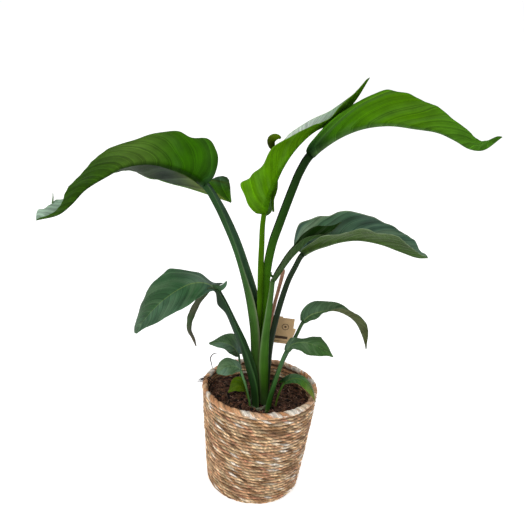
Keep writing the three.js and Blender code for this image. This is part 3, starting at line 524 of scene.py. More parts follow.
            [0x8CAE60, 0x3F7226, 0x386A28, 0x3E6C30, 0x487448],
            [0xA2B880, 0x588840, 0x4C7C3C, 0x508044, 0x5A8650]
        ]
    },
    "midrib": [[37, -31, 277], [45, -34, 293], [62, -38, 301], [82, -42, 300], [100, -46, 293],
        [113, -50, 286]],
    "near": {
        "width": [3, 7, 10, 14, 20, 16, 1.5], "lift": [10, -30, -36, -40, -42, -34, -20], "arch": 4,
        "reach": [1, 1, 0, 0, 0, 0, 0], "bumps": [[0.2, 0.06, -1.5]], "veins": [1.0, 1.6, 1.3],
        "tone": 0.75, "upper": [0x50704E, 0x547450, 0x50724E, 0x486E40, 0x48703A, 0x4C7A38, 0x54823A],
        "under": [0x547448, 0x547448, 0x50703E, 0x4A7038, 0x4A7434, 0x4A7A34, 0x4A7A34]
    },
    "far": {
        "width": [3, 9, 12, 14, 19, 21, 1.5], "lift": [40, 30, 22, 18, 18, 15, 10], "arch": 6,
        "reach": [3, 2, 1, 0, 0, 0, 0], "bumps": [[0.42, 0.12, -8], [0.2, 0.05, 2.5], [0.66, 0.04, 3]],
        "veins": [1.0, 1.6, 1.3], "tone": 0.75,
        "upper": [0x5A7A5C, 0x607E60, 0x5A785A, 0x4E7248, 0x48703C, 0x4E7A38, 0x54823A],
        "under": [0x4C6C44, 0x4C6C44, 0x4A6C3C, 0x466C34, 0x467030, 0x467430, 0x467430]
    },
    "rib_looks": [0x7C9C5C, 0x5A7C4C], "margin_look": 0x608A50, "ripple": [0.4, 9], "bands": [0.2, 0.1],
    "wave": [0.8, 2, 0]
}, {
    "name": "leaf_rim_right", "slot": "leaf_dark", "side": 1,
    "stalk": {
        "route": [[28, -20, 132], [28.5, -20, 165], [31, -20, 184], [35, -20, 200]],
        "breadth": [1.8, 1.8, 1.8], "channel": [1, 1, 1.5], "back": [2, 2, 2], "tone": 0.85,
        "looks": [
            [0x6C7C30, 0x6E8430, 0x5C8430, 0x4A782C],
            [0x74842C, 0x6E882C, 0x5C842C, 0x4C7A2C],
            [0x8C9440, 0x84963C, 0x6C8C3A, 0x5C8438]
        ]
    },
    "midrib": [[40, -20, 211], [53, -21, 222], [66, -23, 223], [77, -27, 217], [87, -32, 207],
        [95, -37, 190]],
    "near": {
        "width": [2, 5, 8.5, 10, 10.5, 8, 1.2], "lift": [10, -20, -28, -28, -28, -25, -10], "arch": 4,
        "reach": [3, 2, 1, 0, 0, 0, 0], "veins": [1.0, 1.6, 1.3], "tone": 0.75,
        "upper": [0x2F5C26, 0x33602A, 0x3C6A34, 0x3C6E2C, 0x5C8A2A, 0x7C9430, 0x8A8A40],
        "under": [0x4A7434, 0x4A7434, 0x50782F, 0x58802C, 0x648428, 0x70802C, 0x787430]
    },
    "far": {
        "width": [8, 11, 12, 11, 11, 9.5, 1.2], "lift": [30, 25, 20, 15, 15, 15, 10], "arch": 6,
        "reach": [14, 9, 3, 0, 0, 0, 0], "veins": [1.0, 1.6, 1.3], "tone": 0.75,
        "upper": [0x2C5A28, 0x345F30, 0x3F6A3C, 0x3F7038, 0x507A30, 0x667C30, 0x747440],
        "under": [0x44702C, 0x44702C, 0x4A7428, 0x567C28, 0x627E26, 0x6C7A2A, 0x706C30]
    },
    "rib_looks": [0x70923C, 0x6A8A38], "margin_look": 0x7C8A3C, "ripple": [0.3, 7], "bands": [0.14, 0.1],
    "wave": [0.5, 2, 0]
}, {
    "name": "leaf_low_left_back", "slot": "leaf_dark", "side": -1,
    "stalk": {
        "route": [[-28, 18, 132], [-29, 18, 168], [-34, 18, 195], [-39, 18, 218]],
        "breadth": [1.8, 1.8, 1.8], "channel": [1, 1, 1.5], "back": [2, 2, 2], "tone": 0.8,
        "looks": [
            [0x5C7C40, 0x4C7434, 0x487040, 0x486C48],
            [0x5C7C40, 0x4C7434, 0x487040, 0x486C48],
            [0x708C50, 0x5C8044, 0x587C4C, 0x587850]
        ]
    },
    "midrib": [[-42, 17, 236], [-52, 14, 252], [-68, 8, 262], [-93, 2, 261]],
    "near": {
        "width": [2, 9, 14, 16, 17, 15, 5], "lift": [0, -20, -25, -25, -20, -10, 0], "arch": 6,
        "reach": [3, 2, 1, 0, 0, 0, 0], "veins": [0.9, 1.4, 1.4], "tone": 0.95,
        # Painted shade: the dark first colours of the near half's upper list, under the fold.
        "upper": [0x2C4C20, 0x2E4E1E, 0x385828, 0x4C7050, 0x5A7C5C, 0x54785A, 0x4C7048],
        "under": [0x5C7C54, 0x5C7C54, 0x587850, 0x54744C, 0x507048, 0x4C6C44, 0x4C6C44]
    },
    "far": {
        "width": [13, 26, 29, 25, 18, 11, 2], "lift": [30, 30, 26, 22, 20, 15, 10], "arch": 6,
        "reach": [14, 10, 4, 0, 0, 0, 0], "bumps": [[0.17, 0.09, 5]], "veins": [0.9, 1.4, 1.4],
        # Painted sheen: the pale blue-green first colours of the far half's upper list.
        "tone": 0.95, "upper": [0x5C7C70, 0x668680, 0x60806C, 0x54764E, 0x507448, 0x4C7044, 0x446A3C],
        "under": [0x46683F, 0x46683F]
    },
    "rib_looks": [0x7F9F5C, 0x587C50], "margin_look": 0x66885C, "ripple": [0.6, 9], "bands": [0.2, 0.1],
    "wave": [1, 2, 0]
}, {
    "name": "leaf_low_left_front", "slot": "leaf_dark", "side": -1,
    "stalk": {
        "route": [[-14, -27, 132], [-14.5, -27, 165], [-19, -28, 186], [-24, -31, 205], [-30, -34, 223]],
        "breadth": [2.8, 2.4, 1.8], "channel": [1, 1, 1.5], "back": [2, 2, 2], "tone": 1.1,
        "looks": [
            [0x6A9048, 0x568A3C, 0x5A8850, 0x547C54],
            [0x648A3C, 0x528638, 0x56844C, 0x507A50],
            [0x84A45C, 0x6C9A54, 0x6C945F, 0x64885C]
        ]
    },
    "midrib": [[-35, -36, 237], [-43, -39, 245], [-56, -44, 247], [-73, -50, 236]],
    "near": {
        "width": [2, 6, 10, 14, 16, 15, 4], "lift": [0, -25, -32, -32, -30, -25, -10], "arch": 6,
        "veins": [0.9, 1.4, 1.4], "tone": 0.95,
        "upper": [0x587458, 0x5E7C60, 0x567454, 0x50704A, 0x587854, 0x68886E, 0x688868],
        "under": [0x5C8054, 0x5C8054, 0x587C50, 0x547850, 0x50744C, 0x507448, 0x507448]
    },
    "far": {
        "width": [2, 7, 12, 15, 18, 19, 6], "lift": [30, 30, 26, 22, 20, 15, 10], "arch": 6,
        "reach": [2, 1, 1, 0, 0, 0, 0], "veins": [0.9, 1.4, 1.4], "tone": 0.95,
        "upper": [0x58745E, 0x627C68, 0x627E66, 0x587854, 0x587850, 0x66845C, 0x688860],
        "under": [0x4C7044, 0x4C7044]
    },
    "rib_looks": [0x7FA068, 0x5C8054], "margin_look": 0x6C9468, "ripple": [0.5, 8], "bands": [0.16, 0.1],
    "wave": [0.6, 2, 0]
}, {
    "name": "leaf_low_left_small", "slot": "leaf_lime", "side": -1,
    "stalk": {
        "route": [[-20, -3, 132], [-20.5, -3, 165]], "breadth": [1.6, 1.6], "channel": [1, 1],
        "back": [1.8, 1.8], "tone": 1.0,
        "looks": [[0x6C7C28, 0x6C8420], [0x6C7C28, 0x6C8420], [0x849440, 0x84983C]]
    },
    "midrib": [[-25, -3, 180], [-33, -6, 188], [-43, -9, 188], [-54, -13, 178]],
    "near": {
        "width": [2, 6, 8, 10, 10, 7, 1.2], "lift": [0, -20, -30, -30, -30, -20, -10], "arch": 4,
        "veins": [0.9, 1.4, 1.4], "tone": 1.25,
        "upper": [0x5C7C10, 0x688810, 0x6C8C10, 0x6C8C12, 0x688816, 0x64841C, 0x64801C],
        "under": [0x6C8C18, 0x6C8C18, 0x6C8C18, 0x6C8C18, 0x6C8818, 0x68841C, 0x64801C]
    },
    "far": {
        "width": [2, 7, 12, 16, 16, 10, 1.2], "lift": [40, 45, 45, 40, 30, 20, 10], "arch": 6,
        "veins": [0.9, 1.4, 1.4], "tone": 1.25,
        "upper": [0x50700C, 0x5A7C0C, 0x60840C, 0x64880F, 0x648614, 0x60801A, 0x607C1C],
        "under": [0x5C7C14, 0x5C7C14, 0x5C7C14, 0x5C7C14, 0x5C7C18, 0x5C781C, 0x5C741C]
    },
    "rib_looks": [0x84A028, 0x6C8C18], "margin_look": 0x86A030, "ripple": [0.3, 7], "bands": [0.1, 0.1],
    "wave": [0.3, 2, 0]
}]

# Narrow strips of leaf: torn or rolled pieces that belong to a leaf. width is half the breadth along the
# route, roll how far the section curls up, and tilt its turn about the route.
STRIP_STEP = 2.5
STRIP_COLUMNS = 13
STRIP_THICKNESS = 0.6
STRIPS = {
    "torn_strip": {
        "leaf": "leaf_mid_left",
        "route": [[-84, -24, 372], [-93, -28, 376], [-100, -30, 369], [-109, -31, 357], [-116, -31, 342],
            [-122, -31, 323], [-124, -30, 308], [-123, -29, 297], [-117, -28, 285], [-111, -28, 269]],
        "width": [4, 5, 6, 6.5, 6.5, 6, 5, 4, 2.6, 1], "roll": 60, "tilt": 65,
        "looks": [0x2A3C20, 0x3C4A30, 0x4A4C38, 0x3C5030, 0x4C4C3C, 0x544C3C]
    },
    "base_spur": {
        "leaf": "leaf_mid_left",
        "route": [[-92, -22, 376], [-84, -22, 375], [-77, -22, 377], [-72, -21, 382], [-69, -21, 390]],
        "width": [5, 5.5, 5, 3.4, 1], "roll": 70, "tilt": 75,
        "looks": [0x3A5C34, 0x3C5E38, 0x44664A, 0x4C6C50]
    },
    "tip_thorn": {
        "leaf": "leaf_upper_left", "route": [[-359, 17, 479], [-358, 18, 489], [-358, 18, 498]],
        "width": [1.8, 1.2, 0.7], "roll": 90, "tilt": 80, "looks": [0x6C8A60, 0x7C9870, 0x88A080]
    },
    "edge_thorn": {
        "leaf": "leaf_upper_left", "route": [[-333, 35, 490], [-337, 38, 500], [-338, 38, 505]],
        "width": [1.8, 1.2, 0.7], "roll": 90, "tilt": 80, "looks": [0x6C8A60, 0x7C9870, 0x88A080]
    },
    "edge_curl": {
        "leaf": "leaf_centre",
        "route": [[-13, 14, 601], [-17, 14, 608], [-18, 14, 616], [-13, 14, 621], [-7, 14, 622],
            [-3, 14, 620]],
        "width": [3, 6, 7, 7, 5, 2], "roll": 110, "tilt": 90,
        "looks": [0x3C5010, 0x34440C, 0x3C4A0C, 0x56700E, 0x6C8C14, 0x5C7410]
    },
    "edge_tail": {
        "leaf": "leaf_centre", "route": [[-6, 18, 556], [-6, 18, 539], [-8, 17, 519], [-5, 16, 499]],
        "width": [4, 5, 3.6, 2.2], "roll": 150, "tilt": 80,
        "looks": [0x4C7C10, 0x48740E, 0x4A7812, 0x588020]
    },
    "knuckle_curl": {
        "leaf": "leaf_strap_right",
        "route": [[14, -17, 412], [9, -17, 407], [4, -17, 403], [1, -17, 405], [1, -17, 411]],
        "width": [3.5, 3.5, 3, 2.4, 1.5], "roll": 120, "tilt": 60,
        "looks": [0x2A4A10, 0x2C4C14, 0x34541C, 0x3C5C24]
    }
}

# Repeatable noise. The factors are large odd numbers that scramble the bits of whole numbers.
HASH_I = 374761393
HASH_J = 668265263
HASH_SEED = 974634777
HASH_MIX = 1274126177
HASH_BITS = 0xFFFFFFFF


def rgb(code):
    """Linear colour of an sRGB hex code."""
    parts = [((code >> shift) & 255) / 255 for shift in (16, 8, 0)]
    return np.array([p / 12.92 if p <= 0.04045 else ((p + 0.055) / 1.055) ** 2.4 for p in parts])


def colours(codes):
    return np.array([rgb(code) for code in codes])


def along(values, share):
    """Smooth curve through a list in even steps, read at each share of its length."""
    values = np.asarray(values, float)
    share = np.asarray(share, float)
    last = len(values) - 1
    place = np.clip(share, 0, 1) * last
    i = np.minimum(place.astype(int), last - 1)
    f = place - i
    if values.ndim == 2:
        f = f[..., None]
    a = values[np.maximum(i - 1, 0)]
    b = values[i]
    c = values[i + 1]
    d = values[np.minimum(i + 2, last)]
    return b + 0.5 * f * (c - a + f * (2 * a - 5 * b + 4 * c - d + f * (3 * (b - c) + d - a)))


def smoothstep(low, high, value):
    t = np.clip((value - low) / (high - low), 0, 1)
    return t * t * (3 - 2 * t)


def mix(a, b, share):
    return a + (b - a) * share


def with_bumps(values, share, bumps):
    """Values at each share, changed by smooth bumps of (place, spread, size)."""
    for place, spread, size in bumps:
        values = values + size * np.exp(-((share - place) / spread) ** 2)
    return values


def hashed(i, j, seed):
    """Repeatable random numbers from 0 to 1 for whole numbers i and j."""
    n = np.asarray(i, np.int64) * HASH_I + np.asarray(j, np.int64) * HASH_J + seed * HASH_SEED
    n = n & HASH_BITS
    n = ((n ^ (n >> 13)) * HASH_MIX) & HASH_BITS
    return ((n ^ (n >> 16)) & 0xFFFF) / 65535


def noise(x, y, seed):
    """Smooth noise from -1 to 1 with features one unit wide."""
    x, y = np.broadcast_arrays(np.asarray(x, float), np.asarray(y, float))
    i, j = np.floor(x).astype(np.int64), np.floor(y).astype(np.int64)
    u, v = smoothstep(0, 1, x - i), smoothstep(0, 1, y - j)
    low = mix(hashed(i, j, seed), hashed(i + 1, j, seed), u)
    high = mix(hashed(i, j + 1, seed), hashed(i + 1, j + 1, seed), u)
    return 2 * mix(low, high, v) - 1


def circle(steps):
    """Even steps once round, in radians."""
    return 2 * math.pi * np.arange(steps) / steps


def turned(radius, theta, z):
    """Points round the basket's axis."""
    return np.stack(np.broadcast_arrays(radius * np.cos(theta), radius * np.sin(theta), z), -1)


def ring(radius, z, steps):
    return turned(radius, circle(steps), z)


def spline(points, per=ROUTE_STEPS):
    """Centripetal curve through the points, as a dense polyline."""
    p = np.array(points, float)
    p = np.vstack([2 * p[0] - p[1], p, 2 * p[-1] - p[-2]])
    t = np.arange(per)[:, None] / per
    pieces = []
    for p0, p1, p2, p3 in zip(p, p[1:], p[2:], p[3:]):
        d0, d1, d2 = [max(np.sum((b - a) ** 2), 1e-8) ** 0.25 for a, b in ((p0, p1), (p1, p2), (p2, p3))]
        t1 = ((p1 - p0) / d0 - (p2 - p0) / (d0 + d1) + (p2 - p1) / d1) * d1
        t2 = ((p2 - p1) / d1 - (p3 - p1) / (d1 + d2) + (p3 - p2) / d2) * d1
        square = -3 * p1 + 3 * p2 - 2 * t1 - t2
        cube = 2 * p1 - 2 * p2 + t1 + t2
        pieces.append(p1 + t * t1 + t * t * square + t ** 3 * cube)
    return np.vstack([*pieces, p[-2:-1]])


class Route:
    """A curve with its length, and the frame of a leaf at any distance along it."""

    def __init__(self, points, side):
        self.points = spline(points)
        steps = np.linalg.norm(np.diff(self.points, axis=0), axis=1)
        self.distances = np.concatenate([[0], np.cumsum(steps)])
        self.length = self.distances[-1]
        self.side = side

    def at(self, distance):
        return np.stack([np.interp(distance, self.distances, self.points[:, axis]) for axis in range(3)], -1)

    def frames(self, distance):
        """Place, the direction across (the front, squared to the route), up and along."""
        tangent = self.at(distance + TANGENT_REACH) - self.at(distance - TANGENT_REACH)
        tangent /= np.linalg.norm(tangent, axis=1, keepdims=True)
        across = np.array([0, -1, 0]) - tangent * -tangent[:, 1:2]
        across /= np.linalg.norm(across, axis=1, keepdims=True)
        return self.at(distance), across, np.cross(across, tangent) * self.side, tangent

    def placed(self, distance, section):
        """Section points (across, up, along) of each row, put on the route."""
        place, *axes = self.frames(distance)
        places = place[:, None]
        for k, axis in enumerate(axes):
            places = places + section[..., k:k + 1] * axis[:, None]
        return places


def grid_faces(rows, columns, closed_rows=False, closed_columns=False):
    """Quads over a grid of vertices numbered row by row."""
    i = np.arange(rows if closed_rows else rows - 1)[:, None]
    k = np.arange(columns if closed_columns else columns - 1)[None]
    i2, k2 = (i + 1) % rows, (k + 1) % columns
    corners = [i * columns + k, i2 * columns + k, i2 * columns + k2, i * columns + k2]
    return np.stack([c.ravel() for c in np.broadcast_arrays(*corners)], 1)


class Piece:
    """Collects vertices, faces, colours and pattern coordinates, and makes the mesh object."""

    def __init__(self):
        self.places, self.quads, self.tints, self.marks = [], [], [], []
        self.count = 0

    def add(self, places, quads, tints, marks=None):
        places = np.asarray(places, float).reshape(-1, 3)
        if marks is None:
            marks = places[:, :2]
        self.places.append(places)
        self.quads.append(np.asarray(quads) + self.count)
        self.tints.append(np.broadcast_to(np.asarray(tints, float).reshape(-1, 3), places.shape))
        self.marks.append(np.asarray(marks, float).reshape(-1, 2))
        self.count += len(places)

    def add_sheet(self, upper, lower, upper_tint, lower_tint, marks, flip=False):
        """A closed thin body between two matching grids of points."""
        rows, columns = upper.shape[:2]
        half = rows * columns
        top = grid_faces(rows, columns)
        bottom = (top + half)[:, ::-1]
        left, foot = np.arange(rows - 1) * columns, np.arange(columns - 1)
        right, end = left + columns - 1, foot + (rows - 1) * columns
        sides = [
            np.stack([left, left + half, left + columns + half, left + columns], 1),
            np.stack([right, right + columns, right + columns + half, right + half], 1),
            np.stack([foot, foot + 1, foot + 1 + half, foot + half], 1),
            np.stack([end, end + half, end + 1 + half, end + 1], 1)
        ]
        quads = np.vstack([top, bottom, *sides])
        self.add(
            np.concatenate([upper.reshape(-1, 3), lower.reshape(-1, 3)]),
            quads[:, ::-1] if flip else quads,
            np.concatenate([upper_tint.reshape(-1, 3), lower_tint.reshape(-1, 3)]),
            np.concatenate([marks.reshape(-1, 2)] * 2)
        )

    def add_fibres(self, fibres):
        """Thin square tubes with pointed ends. Each fibre has its points, radius and colour."""
        for points, radius, tint in fibres:
            points = np.asarray(points, float)
            count = len(points)
            tangent = np.gradient(points, axis=0)
            tangent /= np.linalg.norm(tangent, axis=1, keepdims=True) + 1e-9
            helper = np.where(np.abs(tangent[:, 2:3]) > 0.8, [[1.0, 0, 0]], [[0, 0, 1.0]])
            a = np.cross(tangent, helper)
            a /= np.linalg.norm(a, axis=1, keepdims=True) + 1e-9
            b = np.cross(tangent, a)
            size = radius * np.clip(np.sin(math.pi * np.linspace(*FIBRE_ENDS, count)), FIBRE_TIP, 1)
            angle = circle(4)
            corners = np.cos(angle)[None, :, None] * a[:, None] + np.sin(angle)[None, :, None] * b[:, None]
            caps = [[0, 1, 2, 3], [4 * count - 1 - k for k in range(4)]]
            quads = np.vstack([grid_faces(count, 4, closed_columns=True), *caps])
            self.add(points[:, None] + corners * size[:, None, None], quads, tint)

    def make(self, name, material, slot, *nodes, smooth=True):
        mesh = bpy.data.meshes.new(name)
        places = np.concatenate(self.places) * MM
        quads = np.concatenate(self.quads).astype(np.int32)
        mesh.vertices.add(len(places))
        mesh.vertices.foreach_set("co", places.astype(np.float32).ravel())
        mesh.loops.add(quads.size)
        mesh.loops.foreach_set("vertex_index", quads.ravel())
        mesh.polygons.add(len(quads))
        mesh.polygons.foreach_set("loop_start", np.arange(0, quads.size, 4, dtype=np.int32))
        mesh.update(calc_edges=True)
        tint = mesh.attributes.new("tint", "FLOAT_COLOR", "POINT")
        values = np.concatenate([np.concatenate(self.tints), np.ones((len(places), 1))], 1)
        tint.data.foreach_set("color", values.astype(np.float32).ravel())
        marks = mesh.uv_layers.new(name="marks")
        marks.data.foreach_set("uv", np.concatenate(self.marks)[quads.ravel()].astype(np.float32).ravel())
        mesh.polygons.foreach_set("use_smooth", np.full(len(quads), smooth))
        mesh.validate(clean_customdata=False)
        mesh.materials.append(material)
        made = bpy.data.objects.new(name, mesh)
        bpy.context.scene.collection.objects.link(made)
        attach(made, "root")
        if nodes:
            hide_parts(*nodes)
        return made


# Materials


class Nodes:
    """A node-based material with short calls for its nodes and links."""

    def __init__(self, name):
        self.material = bpy.data.materials.new(name)
        self.material.use_nodes = True
        self.tree = self.material.node_tree
        self.shader = self.tree.nodes["Principled BSDF"]
        self.output = self.tree.nodes["Material Output"]

    def put(self, socket, value):
        if isinstance(value, bpy.types.NodeSocket):
            self.tree.links.new(value, socket)
        else:
            socket.default_value = value

    def node(self, kind, inputs, **settings):
        made = self.tree.nodes.new(kind)
        for key, value in settings.items():
            setattr(made, key, value)
        for key, value in inputs.items():
            self.put(made.inputs[key], value)
        return made

    def mapped(self, vector, scale):
        return self.node("ShaderNodeMapping", {"Vector": vector, "Scale": scale}).outputs["Vector"]

    def uv(self):
        return self.node("ShaderNodeUVMap", {}, uv_map="marks").outputs["UV"]

    def marks(self, across, lengthwise):
        """The pattern coordinates, in features per millimetre across and along the streaks."""
        return self.mapped(self.uv(), (across, lengthwise, 1))

    def place(self):
        """Places in the object, in millimetres."""
        return self.mapped(self.node("ShaderNodeTexCoord", {}).outputs["Object"], (1000.0,) * 3)

    def noise(self, vector, scale=1.0, detail=3.0, roughness=0.5):
        inputs = {"Vector": vector, "Scale": scale, "Detail": detail, "Roughness": roughness}
        return self.node("ShaderNodeTexNoise", inputs).outputs["Fac"]

    def span(self, value, low, high, to_low, to_high):
        """A value between low and high, spread from to_low to to_high."""
        inputs = {"Value": value, "From Min": low, "From Max": high, "To Min": to_low, "To Max": to_high}
        return self.node("ShaderNodeMapRange", inputs).outputs["Result"]

    def swing(self, value, to_low, to_high):
        """A noise value, which is mostly from 0.3 to 0.7, spread from to_low to to_high."""
        return self.span(value, 0.3, 0.7, to_low, to_high)

    def math(self, operation, a, b):
        return self.node("ShaderNodeMath", {0: a, 1: b}, operation=operation).outputs["Value"]

    def sum(self, first, *others):
        for other in others:
            first = self.math("ADD", first, other)
        return first

    def scaled(self, colour, factor):
        """A colour times a number."""
        made = self.node("ShaderNodeVectorMath", {0: colour, "Scale": factor}, operation="SCALE")
        return made.outputs["Vector"]

    def blended(self, share, a, b):
        """Colour a, and b where the share is 1."""
        made = self.node("ShaderNodeMix", {}, data_type="RGBA")
        for index, value in ((0, share), (6, a), (7, b)):
            self.put(made.inputs[index], value)
        return made.outputs[2]

    def tint(self):
        return self.node("ShaderNodeAttribute", {}, attribute_name="tint").outputs["Color"]

    def bump(self, height, distance):
        inputs = {"Height": height, "Distance": distance, "Strength": 1.0}
        return self.node("ShaderNodeBump", inputs).outputs["Normal"]

    def finish(self, colour, roughness, normal, specular):
        self.put(self.shader.inputs["Base Color"], colour)
        self.put(self.shader.inputs["Roughness"], roughness)
        self.put(self.shader.inputs["Normal"], normal)
        self.shader.inputs["Specular IOR Level"].default_value = specular
        return self.material


def leaf_material(name, gloss, specular, through, pleat):
    """Leaf skin: pleats between pale main veins, fine parallel veins, a satin wax and some light through it.

    through is the share of light that passes the blade, pleat the painted light and shade across a pleat.
    """
    m = Nodes(name)
    across = m.node("ShaderNodeSeparateXYZ", {0: m.uv()}).outputs["X"]
    fine = m.noise(m.marks(1.5, 0.015), detail=2)
    broad = m.noise(m.marks(0.3, 0.01), detail=2)
    mottle = m.noise(m.place(), scale=0.045, detail=4)
    faint = m.span(m.noise(m.marks(0.12, 0.02), detail=1), 0.4, 0.62, 0.4, 1)
    main_place = m.math("PINGPONG", across, VEIN_UNITS / 2)
    main = m.math("MULTIPLY", m.span(main_place, 4.5, 4.92, 0, 0.8), faint)
    side = m.span(m.math("PINGPONG", across, SIDE_VEIN_UNITS / 2), 1.0, 1.2, 0, 0.12)
    # Painted light and shade: each pleat is darker on one side and lighter on the other.
    pleat_place = m.math("WRAP", m.math("ADD", across, VEIN_UNITS / 2), VEIN_UNITS)
    painted_pleat_shade = m.span(pleat_place, 0, VEIN_UNITS, -pleat, pleat)
    tone = m.sum(m.swing(fine, -0.12, 0.12), m.swing(broad, -0.14, 0.14), m.math("ADD", main, side),
                 m.math("ADD", painted_pleat_shade, m.swing(mottle, 0.84, 1.12)))
    colour = m.scaled(m.tint(), tone)
    height = m.sum(fine, m.math("MULTIPLY", broad, 1.6), m.math("MULTIPLY", main, 1.2))
    ridges = m.bump(height, 0.00035)
    roughness = m.span(m.math("ADD", mottle, fine), 0.7, 1.3, gloss - 0.06, gloss + 0.12)
    m.finish(colour, roughness, ridges, specular)
    glow = m.node("ShaderNodeBsdfTranslucent", {"Color": m.scaled(colour, 1.3), "Normal": ridges})
    both = {0: through, 1: m.shader.outputs["BSDF"], 2: glow.outputs["BSDF"]}
    m.put(m.output.inputs["Surface"], m.node("ShaderNodeMixShader", both).outputs["Shader"])
    return m.material


def seagrass_material():
    """Twisted seagrass: long fibres, some pale and shiny, with dark gaps between them."""
    m = Nodes("seagrass_fibres")
    fibre = m.noise(m.marks(1.8, 0.2), detail=3, roughness=0.6)
    patch = m.noise(m.marks(0.25, 0.06), detail=2)
    pale = m.noise(m.marks(1.2, 0.17), detail=2)
    tone = m.math("ADD", m.span(fibre, 0.32, 0.68, -0.6, 0.6), m.swing(patch, 0.8, 1.2))
    tone = m.math("MAXIMUM", tone, 0.15)
    colour = m.blended(m.span(pale, 0.58, 0.68, 0, 0.6), m.scaled(m.tint(), tone), m.scaled(m.tint(), 1.8))
    return m.finish(colour, m.swing(fibre, 0.75, 0.5), m.bump(fibre, 0.0009), 0.3)


def soil_material():
    m = Nodes("coir_soil")
    grain = m.noise(m.place(), scale=0.9, detail=6, roughness=0.7)
    clods = m.noise(m.place(), scale=0.18, detail=3)
    tone = m.math("ADD", m.swing(grain, -0.55, 0.75), m.swing(clods, 0.55, 1.3))
    return m.finish(m.scaled(m.tint(), tone), m.swing(grain, 0.95, 0.8), m.bump(grain, 0.0015), 0.25)


def fibre_material():
    m = Nodes("coir_fibres")
    grain = m.noise(m.place(), scale=0.8, detail=3)
    colour = m.scaled(m.tint(), m.swing(grain, 0.7, 1.3))
    return m.finish(colour, m.swing(grain, 0.8, 0.65), m.bump(grain, 0.0003), 0.3)


def wood_material():
    m = Nodes("stick_grain")
    grain = m.noise(m.marks(1.2, 0.05), detail=5, roughness=0.6)
    knots = m.noise(m.place(), scale=0.08, detail=3)
    colour = m.blended(m.span(knots, 0.4, 0.65, 0, 0.45), m.tint(), (*rgb(0x8A5A44), 1))
    colour = m.scaled(colour, m.swing(grain, 0.72, 1.22))
    return m.finish(colour, m.swing(grain, 0.8, 0.65), m.bump(grain, 0.0004), 0.3)


def card_material():
    m = Nodes("kraft_paper")
    flecks = m.noise(m.place(), scale=1.6, detail=5, roughness=0.75)
    cloud = m.noise(m.place(), scale=0.12, detail=2)
    tone = m.math("ADD", m.span(flecks, 0.35, 0.65, -0.1, 0.1), m.swing(cloud, 0.92, 1.06))
    return m.finish(m.scaled(m.tint(), tone), m.swing(flecks, 0.9, 0.8), m.bump(flecks, 0.0001), 0.25)


def liner_material():
    """Plain film with a slight grain. It hardly shows."""
    m = Nodes("liner_film")
    grain = m.noise(m.place(), scale=0.3, detail=3)
    film = rgb(0x99998E)
    colour = m.blended(m.swing(grain, 0, 0.12), (*film, 1), (*(0.8 * film), 1))
    return m.finish(colour, m.swing(grain, 0.4, 0.48), m.bump(grain, 0.0001), 0.4)


# Leaves

RIB_SHARES = np.linspace(0, 1 / 3, RIB_COLUMNS)
WEB_SHARES = np.linspace(1 / 3, 1, WEB_COLUMNS + 1)[1:]
HALF = np.concatenate([RIB_SHARES, WEB_SHARES])
SHARES = np.concatenate([HALF[::-1], HALF[1:]])
SIGNS = np.concatenate([np.ones(len(HALF)), -np.ones(len(HALF) - 1)])
NEAR = (np.arange(len(SHARES)) < len(HALF))[None, :, None]


def stalk_sections(stalk, share):
    """Upper and lower section points of a stalk, for rows at shares of its length."""
    breadth, channel, back = [along(stalk[key], share)[:, None] for key in ("breadth", "channel", "back")]
    back = with_bumps(back, share[:, None], stalk.get("swelling", ()))
    turn = np.radians(along(stalk.get("turn", (0, 0)), share))[:, None]

    def rolled(x, y):
        out = x * np.cos(turn) + y * np.sin(turn)
        up = y * np.cos(turn) - x * np.sin(turn)
        return np.stack([out, up, 0 * x], -1)

    upper = rolled(SIGNS * breadth * along(CHANNEL_OUT, SHARES), channel * along(CHANNEL_UP, SHARES))
    lower = rolled(SIGNS * (breadth + WING_THICKNESS) * along(BACK_OUT, SHARES),
                   channel * along(BACK_UP, SHARES) - back * along(BACK_DOWN, SHARES))
    return upper, lower


def half_columns(shares, rim):
    """Places of the columns from the rib to the margin, where rim is the edge of the rib."""
    thirds = 3 * shares
    web = np.where(thirds < 2, mix(rim, BLADE_MIDDLE, thirds - 1), mix(BLADE_MIDDLE, 1.0, thirds - 2))
    return np.where(shares < 1 / 3, thirds * rim, web)


def pleats(half, step, rows, c, width, length, seed):
    """Which pleat every point of a half lies on, counted along the midrib and swept like the veins."""
    base_sweep, tip_sweep, sweep_power = half["veins"]
    vein = rows * length - mix(base_sweep, tip_sweep, rows) * width * c ** sweep_power
    return vein / step + PLEAT_DRIFT * noise(vein / PLEAT_DRIFT_LENGTH, c * 2, seed)


def relief(leaf, sign, rows, c, pleat, length, seed):
    """How far a half is lifted: waves of the margin, ripple of the pleats, slow sways and flutter."""
    size, count, start = leaf["wave"]
    shift = FAR_WAVE_SHIFT if sign < 0 else 0
    body = np.sin(math.pi * rows)
    ends = np.clip(3 * body, 0, 1)
    wave = size * np.sin(2 * math.pi * (count * rows + start + shift)) * c * c * body
    ripple = leaf["ripple"][0] * np.sin(2 * math.pi * pleat) * c ** 0.6 * (1.2 - c) * np.clip(4 * body, 0, 1)
    sway = SWAY * noise(rows * length / SWAY_LENGTH, c * 1.5 + 9 * sign, seed + 1) * c ** 0.8 * ends
    flutter = FLUTTER * noise(rows * length / FLUTTER_LENGTH, 5 * sign + 0 * c, seed + 2) * c ** 6 * ends
    return wave + ripple + sway + flutter


